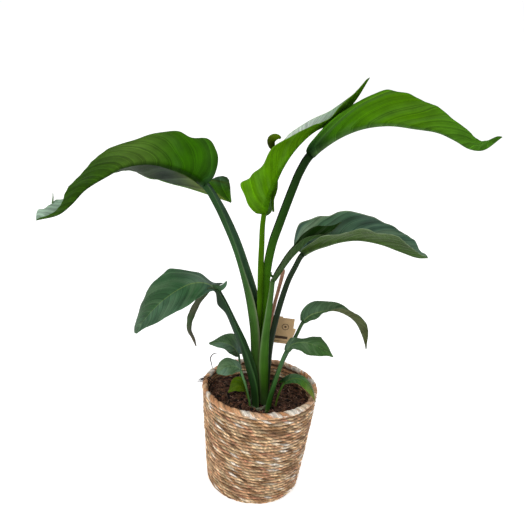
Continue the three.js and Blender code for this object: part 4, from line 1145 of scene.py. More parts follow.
def half_sections(leaf, half, sign, f, length, seed):
    """Upper and lower section points, pattern coordinates and columns of one half, for rows at shares f."""
    shares = HALF[::-1] if sign > 0 else HALF[1:]
    u = f ** (1 / LIST_POWER)
    rows = f[:, None]
    width = with_bumps(along(half["width"], u), f, half.get("bumps", ()))
    tip = np.sqrt(1 - smoothstep(1 - TIP_ROUNDING, 1.002, f) ** 2)
    width = np.maximum(width * tip, TIP_WIDTH)[:, None]
    c = half_columns(shares, np.minimum(RIB_HALF_WIDTH * (1 - RIB_TAPER * rows) / width, RIB_WIDEST))

    arch = math.radians(half["arch"]) + 1e-4
    start = np.radians(along(half["lift"], u))[:, None] + arch
    angle = start - 2 * arch * c
    out = width * (np.sin(start) - np.sin(angle)) / (2 * arch)
    up = width * (np.cos(angle) - np.cos(start)) / (2 * arch)

    pleat = pleats(half, leaf["ripple"][1], rows, c, width, length, seed)
    groove = -GROOVE * np.exp(-(3 * shares / GROOVE_SPREAD) ** 2) * (1 - rows)
    lifted = relief(leaf, sign, rows, c, pleat, length, seed) + groove

    normal = np.stack([-sign * np.sin(angle), np.cos(angle)], -1)
    normal[:, shares == 0] = (0, 1)
    rib = along(leaf["stalk"]["back"], 1.0) * (1 - rows) ** RIB_POWER
    rib_depth = rib * np.where(shares < 1 / 3, 1 - (3 * shares) ** 1.6, 0)
    depth = BLADE_THICKNESS * (1 - MARGIN_THINNING * c ** 4) + rib_depth
    reach = -along(half.get("reach", (0, 0)), u)[:, None] * c ** REACH_POWER
    x = sign * out + lifted * normal[..., 0]
    y = up + lifted * normal[..., 1]
    upper = np.stack([x, y, reach], -1)
    lower = np.stack([x - depth * normal[..., 0], y - depth * normal[..., 1], reach], -1)
    return upper, lower, np.stack([VEIN_UNITS * pleat, sign * c * width], -1), c


def blade_sections(leaf, f, length, seed):
    near = half_sections(leaf, leaf["near"], 1, f, length, seed)
    far = half_sections(leaf, leaf["far"], -1, f, length, seed)
    return [np.concatenate(pair, 1) for pair in zip(near, far)]


def blade_tints(leaf, f, c, pleat, seed):
    """Colours of the upper and the under side of a blade."""
    u = f ** (1 / LIST_POWER)
    margin = smoothstep(*MARGIN_FADE, c)[..., None] * MARGIN_STRENGTH
    tone = np.where(NEAR, leaf["near"]["tone"], leaf["far"]["tone"])
    sides = []
    for face, (side, rib_spread) in enumerate(zip(("upper", "under"), RIB_SPREAD)):
        near, far = [along(colours(leaf[half][side]), u)[:, None] for half in ("near", "far")]
        cloud = CLOUD_CONTRAST * noise(f[:, None] * 9, SIGNS * c * 3, seed + face)
        # Painted sheen and painted shade: bands along the pleats blend to the pale sheen colour or darken.
        band = leaf["bands"][face] * noise(pleat * 1.4, SIGNS * c * 1.6, seed + 4 + face)
        shade = 1 + cloud + PLEAT_SHADE_DEPTH * np.minimum(band, 0)
        tint = np.where(NEAR, near, far) * shade[..., None]
        tint = mix(tint, rgb(BAND_SHEEN), np.maximum(band, 0)[..., None])
        tint = mix(tint, rgb(leaf["margin_look"]), margin)
        rib = (1 - smoothstep(0.1, rib_spread, 3 * SHARES))[None, :, None] * (1 - 0.5 * f[:, None, None])
        tint = mix(tint, rgb(leaf["rib_looks"][face]), rib)
        sides.append(np.clip(tint * tone, 0, 1))
    return sides


def stalk_tints(stalk, share, length):
    """Colours of the channel's side and of the back of a stalk."""
    # The darker of the channel and the back is partly painted shade on the side turned from the light.
    channel, back, edge = [along(colours(codes), share)[:, None] for codes in stalk["looks"]]
    rim = smoothstep(*EDGE_FADE, SHARES)[None, :, None]
    foot = FOOT_STRENGTH * (1 - smoothstep(*FOOT_FADE, share * length))[:, None, None]
    sides = [stalk["tone"] * mix(channel, edge, rim), stalk["tone"] * mix(back, edge, rim ** 2)]
    return [np.clip(mix(side, rgb(FOOT_LOOK), foot), 0, 1) for side in sides]


def strip_into(piece, strip, side, seed):
    """Adds a narrow rolled strip to a leaf."""
    route = Route(strip["route"], side)
    distance = np.linspace(1, route.length - 1, int(route.length / STRIP_STEP) + 2)
    share = distance / route.length
    half = along(strip["width"], share)[:, None] * (1 + 0.12 * noise(distance / 9, 0, seed))[:, None]
    roll = math.radians(strip["roll"])
    tilt = math.radians(strip["tilt"])
    column = np.linspace(-1, 1, STRIP_COLUMNS)
    radius = 2 * half / roll
    angle = column * roll / 2

    def row(inset):
        x = (radius - inset) * np.sin(angle)
        y = radius - (radius - inset) * np.cos(angle)
        out = x * math.cos(tilt) - y * math.sin(tilt)
        up = x * math.sin(tilt) + y * math.cos(tilt)
        return np.stack([out, up, 0 * x], -1)

    mottle = 1 + 0.15 * noise(distance[:, None] / 7, column * 2, seed)
    tint = along(colours(strip["looks"]), share)[:, None] * mottle[..., None]
    marks = np.stack(np.broadcast_arrays(column * 4, distance[:, None]), -1)
    upper, lower = [route.placed(distance, row(inset)) for inset in (STRIP_THICKNESS, 0)]
    piece.add_sheet(upper, lower, tint, tint, marks, side < 0)


def make_leaf(leaf, seed, material):
    """Skin of a leaf: the stalk's rows, the blade's rows that blend out of its end, and its strips."""
    stalk, side = leaf["stalk"], leaf["side"]
    route = Route(stalk["route"] + leaf["midrib"], side)
    joint = route.distances[ROUTE_STEPS * len(stalk["route"])]
    stalk_rows = int(joint / STALK_STEP)
    stalk_share = np.arange(stalk_rows) / stalk_rows
    even = np.linspace(0, 1, BLADE_ROWS + 1)
    f = (0.5 * even + 0.25 * (1 - np.cos(math.pi * even))) ** STATION_POWER
    length = route.length - joint
    distance = np.concatenate([stalk_share * joint, joint + f * length])
    *blade, blade_marks, c = blade_sections(leaf, f, length, seed)

    def joined(stalk_part, end_part, blade_part, blend):
        share = smoothstep(0, blend, f)[:, None, None]
        return np.concatenate([stalk_part, mix(end_part, blade_part, share)])

    end = np.ones(1)
    sections = zip(stalk_sections(stalk, stalk_share), stalk_sections(stalk, end), blade)
    upper, lower = [route.placed(distance, joined(*parts, JOINT_BLEND)) for parts in sections]
    pleat = blade_marks[..., 0] / VEIN_UNITS
    looks = zip(stalk_tints(stalk, stalk_share, joint), stalk_tints(stalk, end, joint),
                blade_tints(leaf, f, c, pleat, seed))
    tints = [joined(*parts, 3 * JOINT_BLEND) for parts in looks]
    across, lengthwise = np.broadcast_arrays(SIGNS * SHARES * STALK_MARKS, (stalk_share * joint)[:, None])
    marks = np.concatenate([np.stack([across, lengthwise], -1), blade_marks])
    piece = Piece()
    piece.add_sheet(upper, lower, *tints, marks, side < 0)
    for k, strip in enumerate(STRIPS.values()):
        if strip["leaf"] == leaf["name"]:
            strip_into(piece, strip, side, 50 + k)
    return piece.make(leaf["name"] + "_skin", material, leaf["slot"], leaf["name"])


# Basket. In the calls of noise, the factors of theta are features to a radian and the last number is a seed.

SEAGRASS = colours([0xD2A87E, 0xDAB186, 0xE6C498, 0xC89A72, 0xCE9C74, 0xAC8258, 0xB89A72, 0x8C6846, 0xFBEEDE,
                    0xF2DEC2, 0xB88262, 0xE6C8A4])
SEAGRASS_STEPS = np.cumsum([0.15, 0.12, 0.12, 0.11, 0.1, 0.12, 0.03, 0.1, 0.03, 0.05, 0.04, 0.05])
RIM_COLOURS = colours([0xDCA87C, 0xE2B88E, 0xCC9468, 0xEAD2B4, 0xD4A884])
RIM_PALE = rgb(0xF8F0E4)
# Painted shade: the dark colours of the skins behind the wall's rope and closing the underside.
WALL_BACK_SHADE = rgb(0x5A4028)
BASE_BACK_SHADE = rgb(0x6A4C30)


def outer_radius(z):
    return BASE_RADIUS + (RIM_RADIUS - BASE_RADIUS) * z / BASKET_HEIGHT


def slumped(places):
    """The soft basket's own shape: the mouth stands a little higher and flatter at the front right."""
    x, y, z = [places[..., axis] for axis in range(3)]
    theta = np.arctan2(y, x)
    share = np.clip(z / BASKET_HEIGHT, 0, 1.1) ** 3
    front = 0.5 + 0.5 * np.cos(theta - math.radians(MOUTH_TURN))
    radius = np.hypot(x, y) - share * MOUTH_PULL * front
    return turned(radius, theta, z + share * (MOUTH_LIFT + MOUTH_RISE * front))


def strand_number(twist):
    return np.floor(twist / math.pi + 0.5).astype(int)


def strand_colours(strand, row, seed):
    """A colour for every strand, by its number and its row's."""
    drawn = hashed(strand, row, seed) * SEAGRASS_STEPS[-1]
    kind = np.minimum(np.searchsorted(SEAGRASS_STEPS, drawn), len(SEAGRASS) - 1)
    return SEAGRASS[kind] * (0.74 + 0.5 * hashed(strand, row, seed + 1))[..., None]


def coil_rows(centres, steps, section, outward, seed):
    """Rows of twisted rope lying on each other: a grid of points with colours and pattern coordinates.

    centres are (radius, height) of every row's middle line, section the angles sampled round each rope,
    and outward is 1 for ropes seen from outside and -1 for those seen from inside.
    """
    theta = circle(steps)
    places, tints, marks = [], [], []
    for row, (radius, height) in enumerate(centres):
        arc = theta * radius
        thick = COIL_PITCH / 2 * (1 + ROW_UNEVENNESS * noise(theta * 9, row + 0.5, seed))
        turns = round(2 * math.pi * radius / TWIST_LENGTH)
        start = 2 * math.pi * hashed(row, 3, seed)
        wander = TWIST_WANDER * noise(theta * 30 / math.pi, row + 0.5, seed + 5)
        swell = ROW_SWELL * noise(theta * 14, row * 0.7, seed + 2)
        wave = ROW_WAVE * noise(theta * 7, row * 0.5, seed + 3)
        for angle in np.radians(section):
            twist = PLIES / 2 * (angle * outward + turns * theta + start) + wander
            strand = strand_number(twist)
            bulge = np.abs(np.cos(twist)) ** PLY_ROUNDNESS
            rope = thick * (PLY_VALLEY + PLY_CREST * bulge)
            r = radius + outward * (rope * math.cos(angle) + swell)
            places.append(turned(r, theta, height + thick * ROW_OVERLAP * math.sin(angle) + wave))
            shade = mix(VALLEY_SHADE, 1, bulge) * (GAP_SHADE + math.cos(angle) ** GAP_POWER)
            streak = noise(arc / STREAK_LENGTH, strand * 1.7 + row * 3.1, seed + 9)
            shade = shade * (1.08 + STREAK_CONTRAST * streak)
            tints.append(strand_colours(strand % (PLIES * turns), row, seed + 7) * shade[:, None])
            marks.append(np.stack([twist * STRAND_MARKS, arc], -1))
    return np.array(places), np.array(tints), np.array(marks)


def make_rows(name, material, rows, back, back_tints, *nodes):
    """A piece of the wall from rows of rope and the two rings of a plain skin behind them."""
    places, tints, marks = rows
    places = np.concatenate([places, back])
    tints = np.concatenate([tints, back_tints])
    marks = np.concatenate([marks, marks[:2]])
    quads = grid_faces(len(places), places.shape[1], closed_rows=True, closed_columns=True)[:, ::-1]
    piece = Piece()
    piece.add(slumped(places), quads, tints, marks)
    return piece.make(name, material, "seagrass", *nodes)


def make_wall(name, first, last, material, *nodes):
    """Part of the basket's wall, from outside. The lowest row is tucked in."""
    heights = [(row + 0.5) * COIL_PITCH for row in range(first, last)]
    centres = [(outer_radius(z) - COIL_PITCH / 2 - (FOOT_TUCK if z < COIL_PITCH else 0), z) for z in heights]
    rows = coil_rows(centres, WALL_STEPS, WALL_SECTION, 1, 3)
    ends = (heights[-1] + COIL_PITCH / 2, heights[0] - COIL_PITCH / 2)
    back = [ring(outer_radius(z) - SKIN_DEPTH, z, WALL_STEPS) for z in ends]
    return make_rows(name, material, rows, back, np.broadcast_to(WALL_BACK_SHADE, (2, WALL_STEPS, 3)), *nodes)


def make_inner_wall(material):
    """Rows of rope that show inside the basket above the soil."""
    heights = [BASKET_HEIGHT - 2 * RIM_ROLL - (row + 0.5) * COIL_PITCH for row in range(INNER_ROWS)]
    centres = [(outer_radius(z) - BASKET_WALL + COIL_PITCH / 2, z) for z in heights]
    places, tints, marks = coil_rows(centres, INNER_STEPS, INNER_SECTION, -1, 17)
    rows = (places, tints * INNER_TONE, marks)
    ends = (heights[-1] - COIL_PITCH, heights[0] + COIL_PITCH / 2)
    back = [ring(outer_radius(z) - INNER_SKIN_DEPTH, z, INNER_STEPS) for z in ends]
    # Painted shade: the skin behind the inner rows takes the last rows' colours at half.
    return make_rows("basket_inner_rows", material, rows, back, tints[-2:] * 0.5)


def make_rim(material):
    """Roll round the mouth, wrapped in strands, with paler grass here and there."""
    theta, angle = circle(RIM_STEPS)[:, None], circle(RIM_SIDES)[None]
    twist = angle + RIM_STRANDS / 2 * theta + TWIST_WANDER * noise(theta * 12 / math.pi, 0, 41)
    bulge = np.abs(np.cos(twist)) ** RIM_ROUNDNESS
    fibre = RIM_FIBRE * noise(twist * 3.2, theta * 30, 43)
    uneven = 1 + RIM_UNEVENNESS * noise(theta * 10, 0.5, 47)
    rope = RIM_THICKNESS * (RIM_VALLEY + RIM_CREST * bulge) * uneven + fibre
    r = RIM_RADIUS - RIM_THICKNESS + rope * np.cos(angle) + RIM_SWELL * noise(theta * 9, 0.5, 44)
    z = BASKET_HEIGHT - RIM_THICKNESS + rope * np.sin(angle) + RIM_WAVE * noise(theta * 7, 0.5, 45)
    kinds = len(RIM_COLOURS)
    tints = RIM_COLOURS[(hashed(strand_number(twist) % RIM_STRANDS, 5, 46) * kinds).astype(int) % kinds]
    tints = tints * (1 + 0.22 * noise(twist * 2.5, theta * 8, 48))[..., None]
    pale = np.zeros(twist.shape)
    for degrees, spread in RIM_PALE_PATCHES:
        away = np.degrees(theta) + 6 * np.sin(angle) - degrees + 4 * noise(twist * 2, theta * 10, 49)
        away = np.abs((away + 180) % 360 - 180)
        pale = np.maximum(pale, 1 - smoothstep(0.6 * spread, 1.2 * spread, away))
    tints = mix(tints, RIM_PALE, (pale * RIM_PALE_STRENGTH)[..., None])
    tints = np.clip(tints * mix(RIM_SHADE, 1, bulge)[..., None], 0, 1)
    marks = np.stack(np.broadcast_arrays(twist * 3.0, theta * RIM_RADIUS), -1)
    piece = Piece()
    quads = grid_faces(RIM_STEPS, RIM_SIDES, closed_rows=True, closed_columns=True)
    piece.add(slumped(turned(r, theta, z)), quads, tints, marks)
    return piece.make("basket_rim_roll", material, "seagrass")


def make_base(material):
    """Underside of the basket: the rope's flat spiral start, as rings of twisted rope, and a plain skin."""
    theta = circle(BASE_STEPS)
    places, tints, marks = [], [], []
    for row in range(BASE_ROWS):
        radius = 2 + (row + 0.5) * COIL_PITCH
        turns = max(round(2 * math.pi * radius / TWIST_LENGTH), 1)
        for angle in np.radians(BASE_SECTION):
            twist = PLIES / 2 * (angle + turns * theta + 2.1 * row)
            bulge = np.abs(np.cos(twist)) ** RIM_ROUNDNESS
            r = radius + COIL_PITCH / 2 * math.sin(angle)
            depth = BASE_DEPTH * mix(BASE_VALLEY, 1, bulge) * math.cos(angle)
            places.append(turned(r, theta, BASE_LIFT - depth))
            strand = strand_number(twist) % (PLIES * turns)
            tints.append(strand_colours(strand, row, 61) * mix(BASE_SHADE, 1, bulge)[:, None])
            marks.append(np.stack([twist * STRAND_MARKS, theta * radius], -1))
    for radius, z in BASE_SKIN:
        places.append(ring(radius, z, BASE_STEPS))
        tints.append(np.broadcast_to(BASE_BACK_SHADE, (BASE_STEPS, 3)))
        marks.append(np.stack([theta * radius, theta], -1))
    piece = Piece()
    quads = grid_faces(len(places), BASE_STEPS, closed_rows=True, closed_columns=True)
    piece.add(np.array(places), quads, np.array(tints), np.array(marks))
    return piece.make("basket_underside", material, "seagrass")


def make_stray_fibres(material):
    """Loose grass ends that stand out a little from the wall and the rim."""
    random = np.random.default_rng(5)
    step = np.linspace(0, 1, 6)
    fibres = []
    for _ in range(STRAY_FIBRES):
        theta = random.uniform(0, 2 * math.pi)
        z = random.uniform(12, BASKET_HEIGHT)
        r = outer_radius(z) - 0.6
        turn = random.uniform(-0.9, 0.4)
        length = random.uniform(6, 16)
        bend = random.uniform(1.0, 3.2)
        angle = theta + step * length * math.cos(turn) / r
        height = z + step * length * math.sin(turn) * 0.5
        points = slumped(turned(r + bend * np.sin(math.pi * step * 0.8), angle, height))
        radius = random.uniform(0.22, 0.45)
        fibres.append((points, radius, SEAGRASS[random.integers(len(SEAGRASS))] * random.uniform(0.9, 1.2)))
    piece = Piece()
    piece.add_fibres(fibres)
    return piece.make("basket_stray_fibres", material, "seagrass")


# Soil

SOIL_COLOURS = colours([0x3A271C, 0x4C3324, 0x2A1C14, 0x5C4230])
CRUMB_COLOURS = colours([0x3A251A, 0x4E3222, 0x241812, 0x6A4A34, 0x1C140F, 0x584030])
COIR_COLOURS = colours([0x70483A, 0x845846, 0x4A3020, 0xA07660, 0xC09A84, 0x38241A])
COIR_WEIGHTS = [0.22, 0.24, 0.12, 0.24, 0.12, 0.06]
RIM_TUFT_LOOK = rgb(0x2A1D16)
CURLED_FIBRE_LOOK = rgb(0x33241B)
FOOT_TUFT_COLOURS = colours([0xA89A88, 0x8A6A50])
BRACT_COLOURS = colours([0x4A4034, 0x485238, 0x566448, 0x828C74])


def soil_height(x, y):
    """Top of the soil: a low crown with lumps, and a heap that rises at the left."""
    share = np.hypot(x, y) / SOIL_RADIUS
    lumps = sum(size * noise(x / width, y / width, 71 + k) for k, (size, width) in enumerate(SOIL_LUMPS))
    away = (x - SOIL_HEAP_PLACE[0]) ** 2 + (y - SOIL_HEAP_PLACE[1]) ** 2
    heap = SOIL_HEAP * np.exp(-away / (2 * SOIL_HEAP_SPREAD ** 2))
    return SOIL_CROWN - (SOIL_CROWN - SOIL_EDGE) * share ** 2 + lumps + heap


def make_soil(material):
    theta = circle(SOIL_STEPS)
    edge = outer_radius(SOIL_EDGE) - BASKET_WALL + SOIL_OVERLAP
    floor = outer_radius(SOIL_FLOOR) - BASKET_WALL - 2
    places, tints = [], []
    for radius in np.linspace(SOIL_MIDDLE, edge, SOIL_RINGS):
        x, y = radius * np.cos(theta), radius * np.sin(theta)
        places.append(np.stack([x, y, soil_height(x, y)], -1))
        tint = along(SOIL_COLOURS, 0.5 + 0.5 * noise(x / 5, y / 5, 75))
        tints.append(tint * (1 + 0.25 * noise(x / 2.2, y / 2.2, 76))[:, None])
    skin = ((edge - 1.5, SOIL_EDGE - SOIL_SIDE), (floor, SOIL_FLOOR), (SOIL_MIDDLE, SOIL_FLOOR))
    for radius, z in skin:
        places.append(ring(radius, z, SOIL_STEPS))
        tints.append(np.broadcast_to(SOIL_COLOURS[0], (SOIL_STEPS, 3)))
    piece = Piece()
    quads = grid_faces(len(places), SOIL_STEPS, closed_rows=True, closed_columns=True)
    piece.add(np.array(places), quads, np.clip(np.array(tints), 0, 1))
    return piece.make("soil_bed", material, "soil", "soil")


def make_crumbs(material):
    """Bark and peat crumbs on the soil: small uneven blocks."""
    random = np.random.default_rng(12)
    cube = np.array([[x, y, z] for x in (-1, 1) for y in (-1, 1) for z in (-1, 1)], float)
    faces = np.array([[0, 1, 3, 2], [4, 6, 7, 5], [0, 4, 5, 1], [2, 3, 7, 6], [0, 2, 6, 4], [1, 5, 7, 3]])
    piece = Piece()
    for _ in range(CRUMBS):
        radius = LITTER_RADIUS * math.sqrt(random.uniform(0, 1))
        theta = random.uniform(0, 2 * math.pi)
        x, y = radius * math.cos(theta), radius * math.sin(theta)
        size = random.uniform(0.7, 2.4) * np.array([random.uniform(0.8, 2.0), 1, random.uniform(0.5, 1)])
        corners = cube * size + random.uniform(-0.35, 0.35, (8, 3)) * size
        axis = random.uniform(-1, 1, 3)
        turn = np.array(Matrix.Rotation(random.uniform(0, 2 * math.pi), 3, axis.tolist()))
        corners = corners @ turn.T + [x, y, float(soil_height(x, y)) + CRUMB_LIFT]
        tint = CRUMB_COLOURS[random.integers(len(CRUMB_COLOURS))] * random.uniform(0.8, 1.3)
        piece.add(corners, faces, tint)
    return piece.make("soil_crumbs", material, "soil", smooth=False)


def coir_fibre(random):
    """A fibre that curls over the soil."""
    radius = COIR_RADIUS * math.sqrt(random.uniform(0, 1))
    theta = random.uniform(0, 2 * math.pi)
    heading = random.uniform(0, 2 * math.pi)
    bend = random.uniform(-0.35, 0.35)
    length = random.uniform(5, 22)
    x, y = radius * math.cos(theta), radius * math.sin(theta)
    points = []
    for k in range(COIR_POINTS):
        reach = math.hypot(x, y)
        if reach > LITTER_RADIUS:
            x, y = x * LITTER_RADIUS / reach, y * LITTER_RADIUS / reach
        lift = 0.4 + random.uniform(0, 2.4) * math.sin(math.pi * k / (COIR_POINTS - 1))
        points.append([x, y, float(soil_height(x, y)) + lift])
        x += length / COIR_POINTS * math.cos(heading)
        y += length / COIR_POINTS * math.sin(heading)
        heading += bend + random.uniform(-0.5, 0.5)
    radius = random.uniform(0.18, 0.42)
    tone = COIR_COLOURS[random.choice(len(COIR_COLOURS), p=COIR_WEIGHTS)]
    return points, radius, tone * random.uniform(0.85, 1.2)


def rim_tuft_fibre(k):
    start = RIM_TUFT_START + np.array([k, k, 0.6 * k])
    end = RIM_TUFT_END + np.array([0.9 * k, 1.5 * k, 1.3 * (k % 4)])
    step = np.linspace(0, 1, 7)[:, None]
    arch = np.array([0, 0, 6.0 + k % 3]) * np.sin(math.pi * step)
    return start + (end - start) * step + arch, RIM_TUFT_THICKNESS, RIM_TUFT_LOOK


def foot_tuft_fibre(k):
    turn = 2.4 * k
    foot = FOOT_TUFT_PLACE + np.array([5 * math.cos(turn), 4 * math.sin(turn), 0])
    tip = foot + [4 * math.cos(turn + 1), 4 * math.sin(turn + 1), 4.0 + k % 4]
    step = np.linspace(0, 1, 5)[:, None]
    points = foot + (tip - foot) * step + [0, 0, 1.5] * np.sin(math.pi * step)
    return points, FOOT_TUFT_THICKNESS, FOOT_TUFT_COLOURS[k % 2]


def make_coir(material):
    """Coir on the soil, with the tufts on the rim and at the foot and the curled fibre."""
    random = np.random.default_rng(21)
    piece = Piece()
    piece.add_fibres([coir_fibre(random) for _ in range(COIR_FIBRES)])
    piece.add_fibres([rim_tuft_fibre(k) for k in range(RIM_TUFT_FIBRES)])
    piece.add_fibres([(spline(CURLED_FIBRE, 6), CURLED_FIBRE_THICKNESS, CURLED_FIBRE_LOOK)])
    piece.add_fibres([foot_tuft_fibre(k) for k in range(FOOT_TUFT_FIBRES)])
    return piece.make("soil_coir", material, "soil")


def make_sheath_base(material):
    """Old leaf bases round the foot of the shoot: short curved bracts, brown below and pale at the edge."""
    piece = Piece()
    out = np.linspace(-1, 1, 13)
    up = np.linspace(0, 1, 12)[:, None]
    for k, (degrees, spread, radius, height) in enumerate(BRACTS):
        angle = np.radians(degrees + spread * out)[None] + 0 * up
        rise = height * up * (1 - 0.45 * np.abs(out + 0.2 * (k % 2)) ** 2)
        wall = radius + 1.2 * np.sin(3 * up) - 2.5 * up + 0.6 * noise(angle * 6, up * 3, 90 + k)
        middle = np.array([*BRACT_CENTRE, SOIL_CROWN - BRACT_SINK])
        outside, inside = [middle + turned(r, angle, rise) for r in (wall, wall - BRACT_THICKNESS)]
        mottle = 1 + 0.2 * noise(angle * 9, up * 2, 95 + k)
        tint = along(BRACT_COLOURS, up[:, 0])[:, None] * mottle[..., None]
        piece.add_sheet(outside, inside, tint, tint, np.stack([angle * radius, rise], -1))
    return piece.make("sheath_bases", material, "leaf_bright")


# Stick and card

WOOD_COLOURS = colours([0x7A5442, 0x966A54, 0xB08068, 0xB48A70])
CARD_PAPER = rgb(0xC6A67C)
CARD_INK = rgb(0x4A3A2C)


def make_stick(material):
    foot, top = np.array(STICK_FOOT), np.array(STICK_TOP)
    lean = (top - foot) / np.linalg.norm(top - foot)
    side = np.cross(lean, [0, 1, 0])
    side /= np.linalg.norm(side)
    front = np.cross(side, lean)
    share = np.linspace(0, 1, STICK_ROWS)[:, None]
    angle = circle(STICK_SIDES)[None]
    uneven = 0.1 * noise(share * 14, angle / 2, 81) + 0.05 * noise(share * 3, angle * 3, 82)
    radius = STICK_RADIUS * (1 + uneven) * (1 - smoothstep(0.985, 1.0, share) * 0.45)
    places = (foot + (top - foot) * share[..., None] + side * (radius * np.cos(angle))[..., None]
              + front * (radius * np.sin(angle))[..., None])
    marks = np.stack(np.broadcast_arrays(angle * STICK_RADIUS, share * STICK_MARKS), -1)
    piece = Piece()
    quads = grid_faces(STICK_ROWS, STICK_SIDES, closed_columns=True)
    piece.add(places, quads, along(WOOD_COLOURS, share + 0 * angle), marks)
    k = np.arange(0, STICK_SIDES, 2)
    cap = np.stack([k, (k + 1) % STICK_SIDES, (k + 2) % STICK_SIDES, np.full(len(k), STICK_SIDES)], 1)
    for edge, end, quads in ((places[0], foot, cap[:, ::-1]), (places[-1], top, cap)):
        piece.add(np.concatenate([edge, [end]]), quads, WOOD_COLOURS[-1])
    return piece.make("stick_wood", material, "stick_wood", "stick")


def card_print(x, z):
    """Where the card is inked."""
    upright = (np.abs(x - FRAME_LEFT) < FRAME_LINE) & (z > FRAME_FOOT) & (z < FRAME_TOP)
    level = (np.abs(z - FRAME_FOOT) < FRAME_LINE) & (x > FRAME_LEFT) & (x < FRAME_RIGHT)
    band = (x > BAND_ACROSS[0]) & (x < BAND_ACROSS[1]) & (z > BAND_UP[0]) & (z < BAND_UP[1])
    away = np.hypot(x - RING_CENTRE[0], z - RING_CENTRE[1])
    return upright | level | band | (np.abs(away - RING_RADIUS) < RING_LINE) | (away < DOT_RADIUS)


def make_card(material):
    """Kraft card with a stepped right edge, standing just behind the stick."""
    low, high = np.array(STICK_FOOT), np.array(STICK_TOP)
    share = (CARD_CORNER[1] - low[2]) / (high[2] - low[2])
    y = low[1] + (high[1] - low[1]) * share + STICK_RADIUS + CARD_GAP
    lean = math.radians(CARD_LEAN)
    across = np.linspace(0, 1, CARD_COLUMNS)[:, None]
    up = np.linspace(0, 1, CARD_ROWS)[None]
    right = CARD_WIDTH - 2 * CARD_STEP + 3 * CARD_STEP * smoothstep(0, CARD_FLARE_END, up)
    right = np.where(up > CARD_NOTCH, CARD_WIDTH - CARD_STEP, right)
    top = np.where(across > CARD_TOP_STEP, CARD_HEIGHT - CARD_STEP, CARD_HEIGHT)
    x, z = np.broadcast_arrays(across * right, up * top)
    bow = CARD_BOW * np.sin(math.pi * across) * np.sin(math.pi * up)
    front = np.where(card_print(x, z)[..., None], CARD_INK, CARD_PAPER)

    def face(offset):
        return np.stack([CARD_CORNER[0] + x * math.cos(lean) + z * math.sin(lean), y + offset + bow,
                         CARD_CORNER[1] + z * math.cos(lean) - x * math.sin(lean)], -1)

    piece = Piece()
    back = np.broadcast_to(CARD_PAPER, front.shape)
    piece.add_sheet(face(CARD_THICKNESS), face(0), back, front, np.stack([x, z], -1), True)
    return piece.make("care_card_paper", material, "kraft_card", "care_card")


# Stage, lights and camera


def level_axes(forward):
    """The level direction to the right of a view, and the one up from it."""
    side = np.cross(forward, [0, 0, 1])
    side /= np.linalg.norm(side)
    return side, np.cross(side, forward)


def make_floor():
    mesh = bpy.data.meshes.new("floor")
    reach = FLOOR_REACH * MM
    corners = [(-reach, -reach, 0), (reach, -reach, 0), (reach, reach, 0), (-reach, reach, 0)]
    mesh.from_pydata(corners, [], [(0, 1, 2, 3)])
    floor = bpy.data.objects.new("floor", mesh)
    bpy.context.scene.collection.objects.link(floor)
    m = Nodes("pale_floor")
    looks = {
        "Base Color": (FLOOR_TONE, FLOOR_TONE, FLOOR_TONE, 1),
        "Roughness": 0.85,
        "Specular IOR Level": 0.1,
        "Emission Color": (1, 1, 1, 1),
        "Emission Strength": FLOOR_GLOW
    }
    for key, value in looks.items():
        m.shader.inputs[key].default_value = value
    mesh.materials.append(m.material)


def make_light(name, place, target, size, watts):
    data = bpy.data.lights.new(name, "AREA")
    data.shape = "SQUARE"
    data.size = size * MM
    data.energy = watts
    light = bpy.data.objects.new(name, data)
    bpy.context.scene.collection.objects.link(light)
    light.location = [p * MM for p in place]
    direction = np.array(target, float) - np.array(place, float)
    forward = direction / np.linalg.norm(direction)
    side, up = level_axes(forward)
    light.rotation_euler = Matrix([[side[i], up[i], -forward[i]] for i in range(3)]).to_euler()


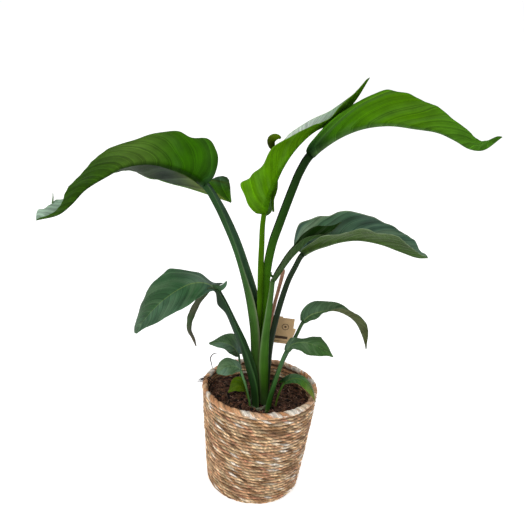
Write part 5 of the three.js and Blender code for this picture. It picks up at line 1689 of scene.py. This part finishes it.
def make_world():
    world = bpy.data.worlds.new("studio")
    bpy.context.scene.world = world
    world.use_nodes = True
    background = world.node_tree.nodes["Background"]
    background.inputs["Color"].default_value = (1, 1, 1, 1)
    background.inputs["Strength"].default_value = WORLD_STRENGTH


def make_camera():
    pitch, yaw, roll = [math.radians(a) for a in (CAMERA_PITCH, CAMERA_YAW, CAMERA_ROLL)]
    forward = np.array([math.sin(yaw) * math.cos(pitch), math.cos(yaw) * math.cos(pitch), -math.sin(pitch)])
    level, up = level_axes(forward)
    right = level * math.cos(roll) + up * math.sin(roll)
    top = up * math.cos(roll) - level * math.sin(roll)
    data = bpy.data.cameras.new("camera")
    data.sensor_width = SENSOR_WIDTH
    data.lens = CAMERA_FOCAL_PIXELS / IMAGE_PIXELS * SENSOR_WIDTH
    camera = bpy.data.objects.new("camera", data)
    bpy.context.scene.collection.objects.link(camera)
    rows = [[right[i], top[i], -forward[i], CAMERA_PLACE[i] * MM] for i in range(3)]
    camera.matrix_world = Matrix([*rows, [0, 0, 0, 1]])
    bpy.context.scene.camera = camera


def make_basket():
    seagrass = seagrass_material()
    half = COIL_ROWS // 2
    make_wall("basket_wall_lower", 0, half, seagrass, "basket")
    make_wall("basket_wall_upper", half, WALL_ROWS, seagrass)
    make_inner_wall(seagrass)
    make_rim(seagrass)
    make_base(seagrass)
    make_stray_fibres(seagrass)


def make_filling():
    soil = soil_material()
    make_soil(soil)
    make_crumbs(soil)
    make_coir(fibre_material())
    make_sheath_base(fibre_material())
    make_stick(wood_material())
    make_card(card_material())
    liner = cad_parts["liner"]
    liner.data.materials.clear()
    liner.data.materials.append(liner_material())


def make_plant():
    materials = {
        "leaf_bright": leaf_material("leaf_skin_bright", 0.5, 0.04, 0.2, 0.24),
        "leaf_lime": leaf_material("leaf_skin_lime", 0.5, 0.03, 0.3, 0.14),
        "leaf_dark": leaf_material("leaf_skin_dark", 0.4, 0.16, 0.08, 0.2)
    }
    for number, leaf in enumerate(LEAVES):
        make_leaf(leaf, 100 + 10 * number, materials[leaf["slot"]])


make_camera()
make_floor()
for light in LIGHTS:
    make_light(*light)
make_world()
make_basket()
make_filling()
make_plant()

bpy.context.scene.view_settings.view_transform = "Standard"
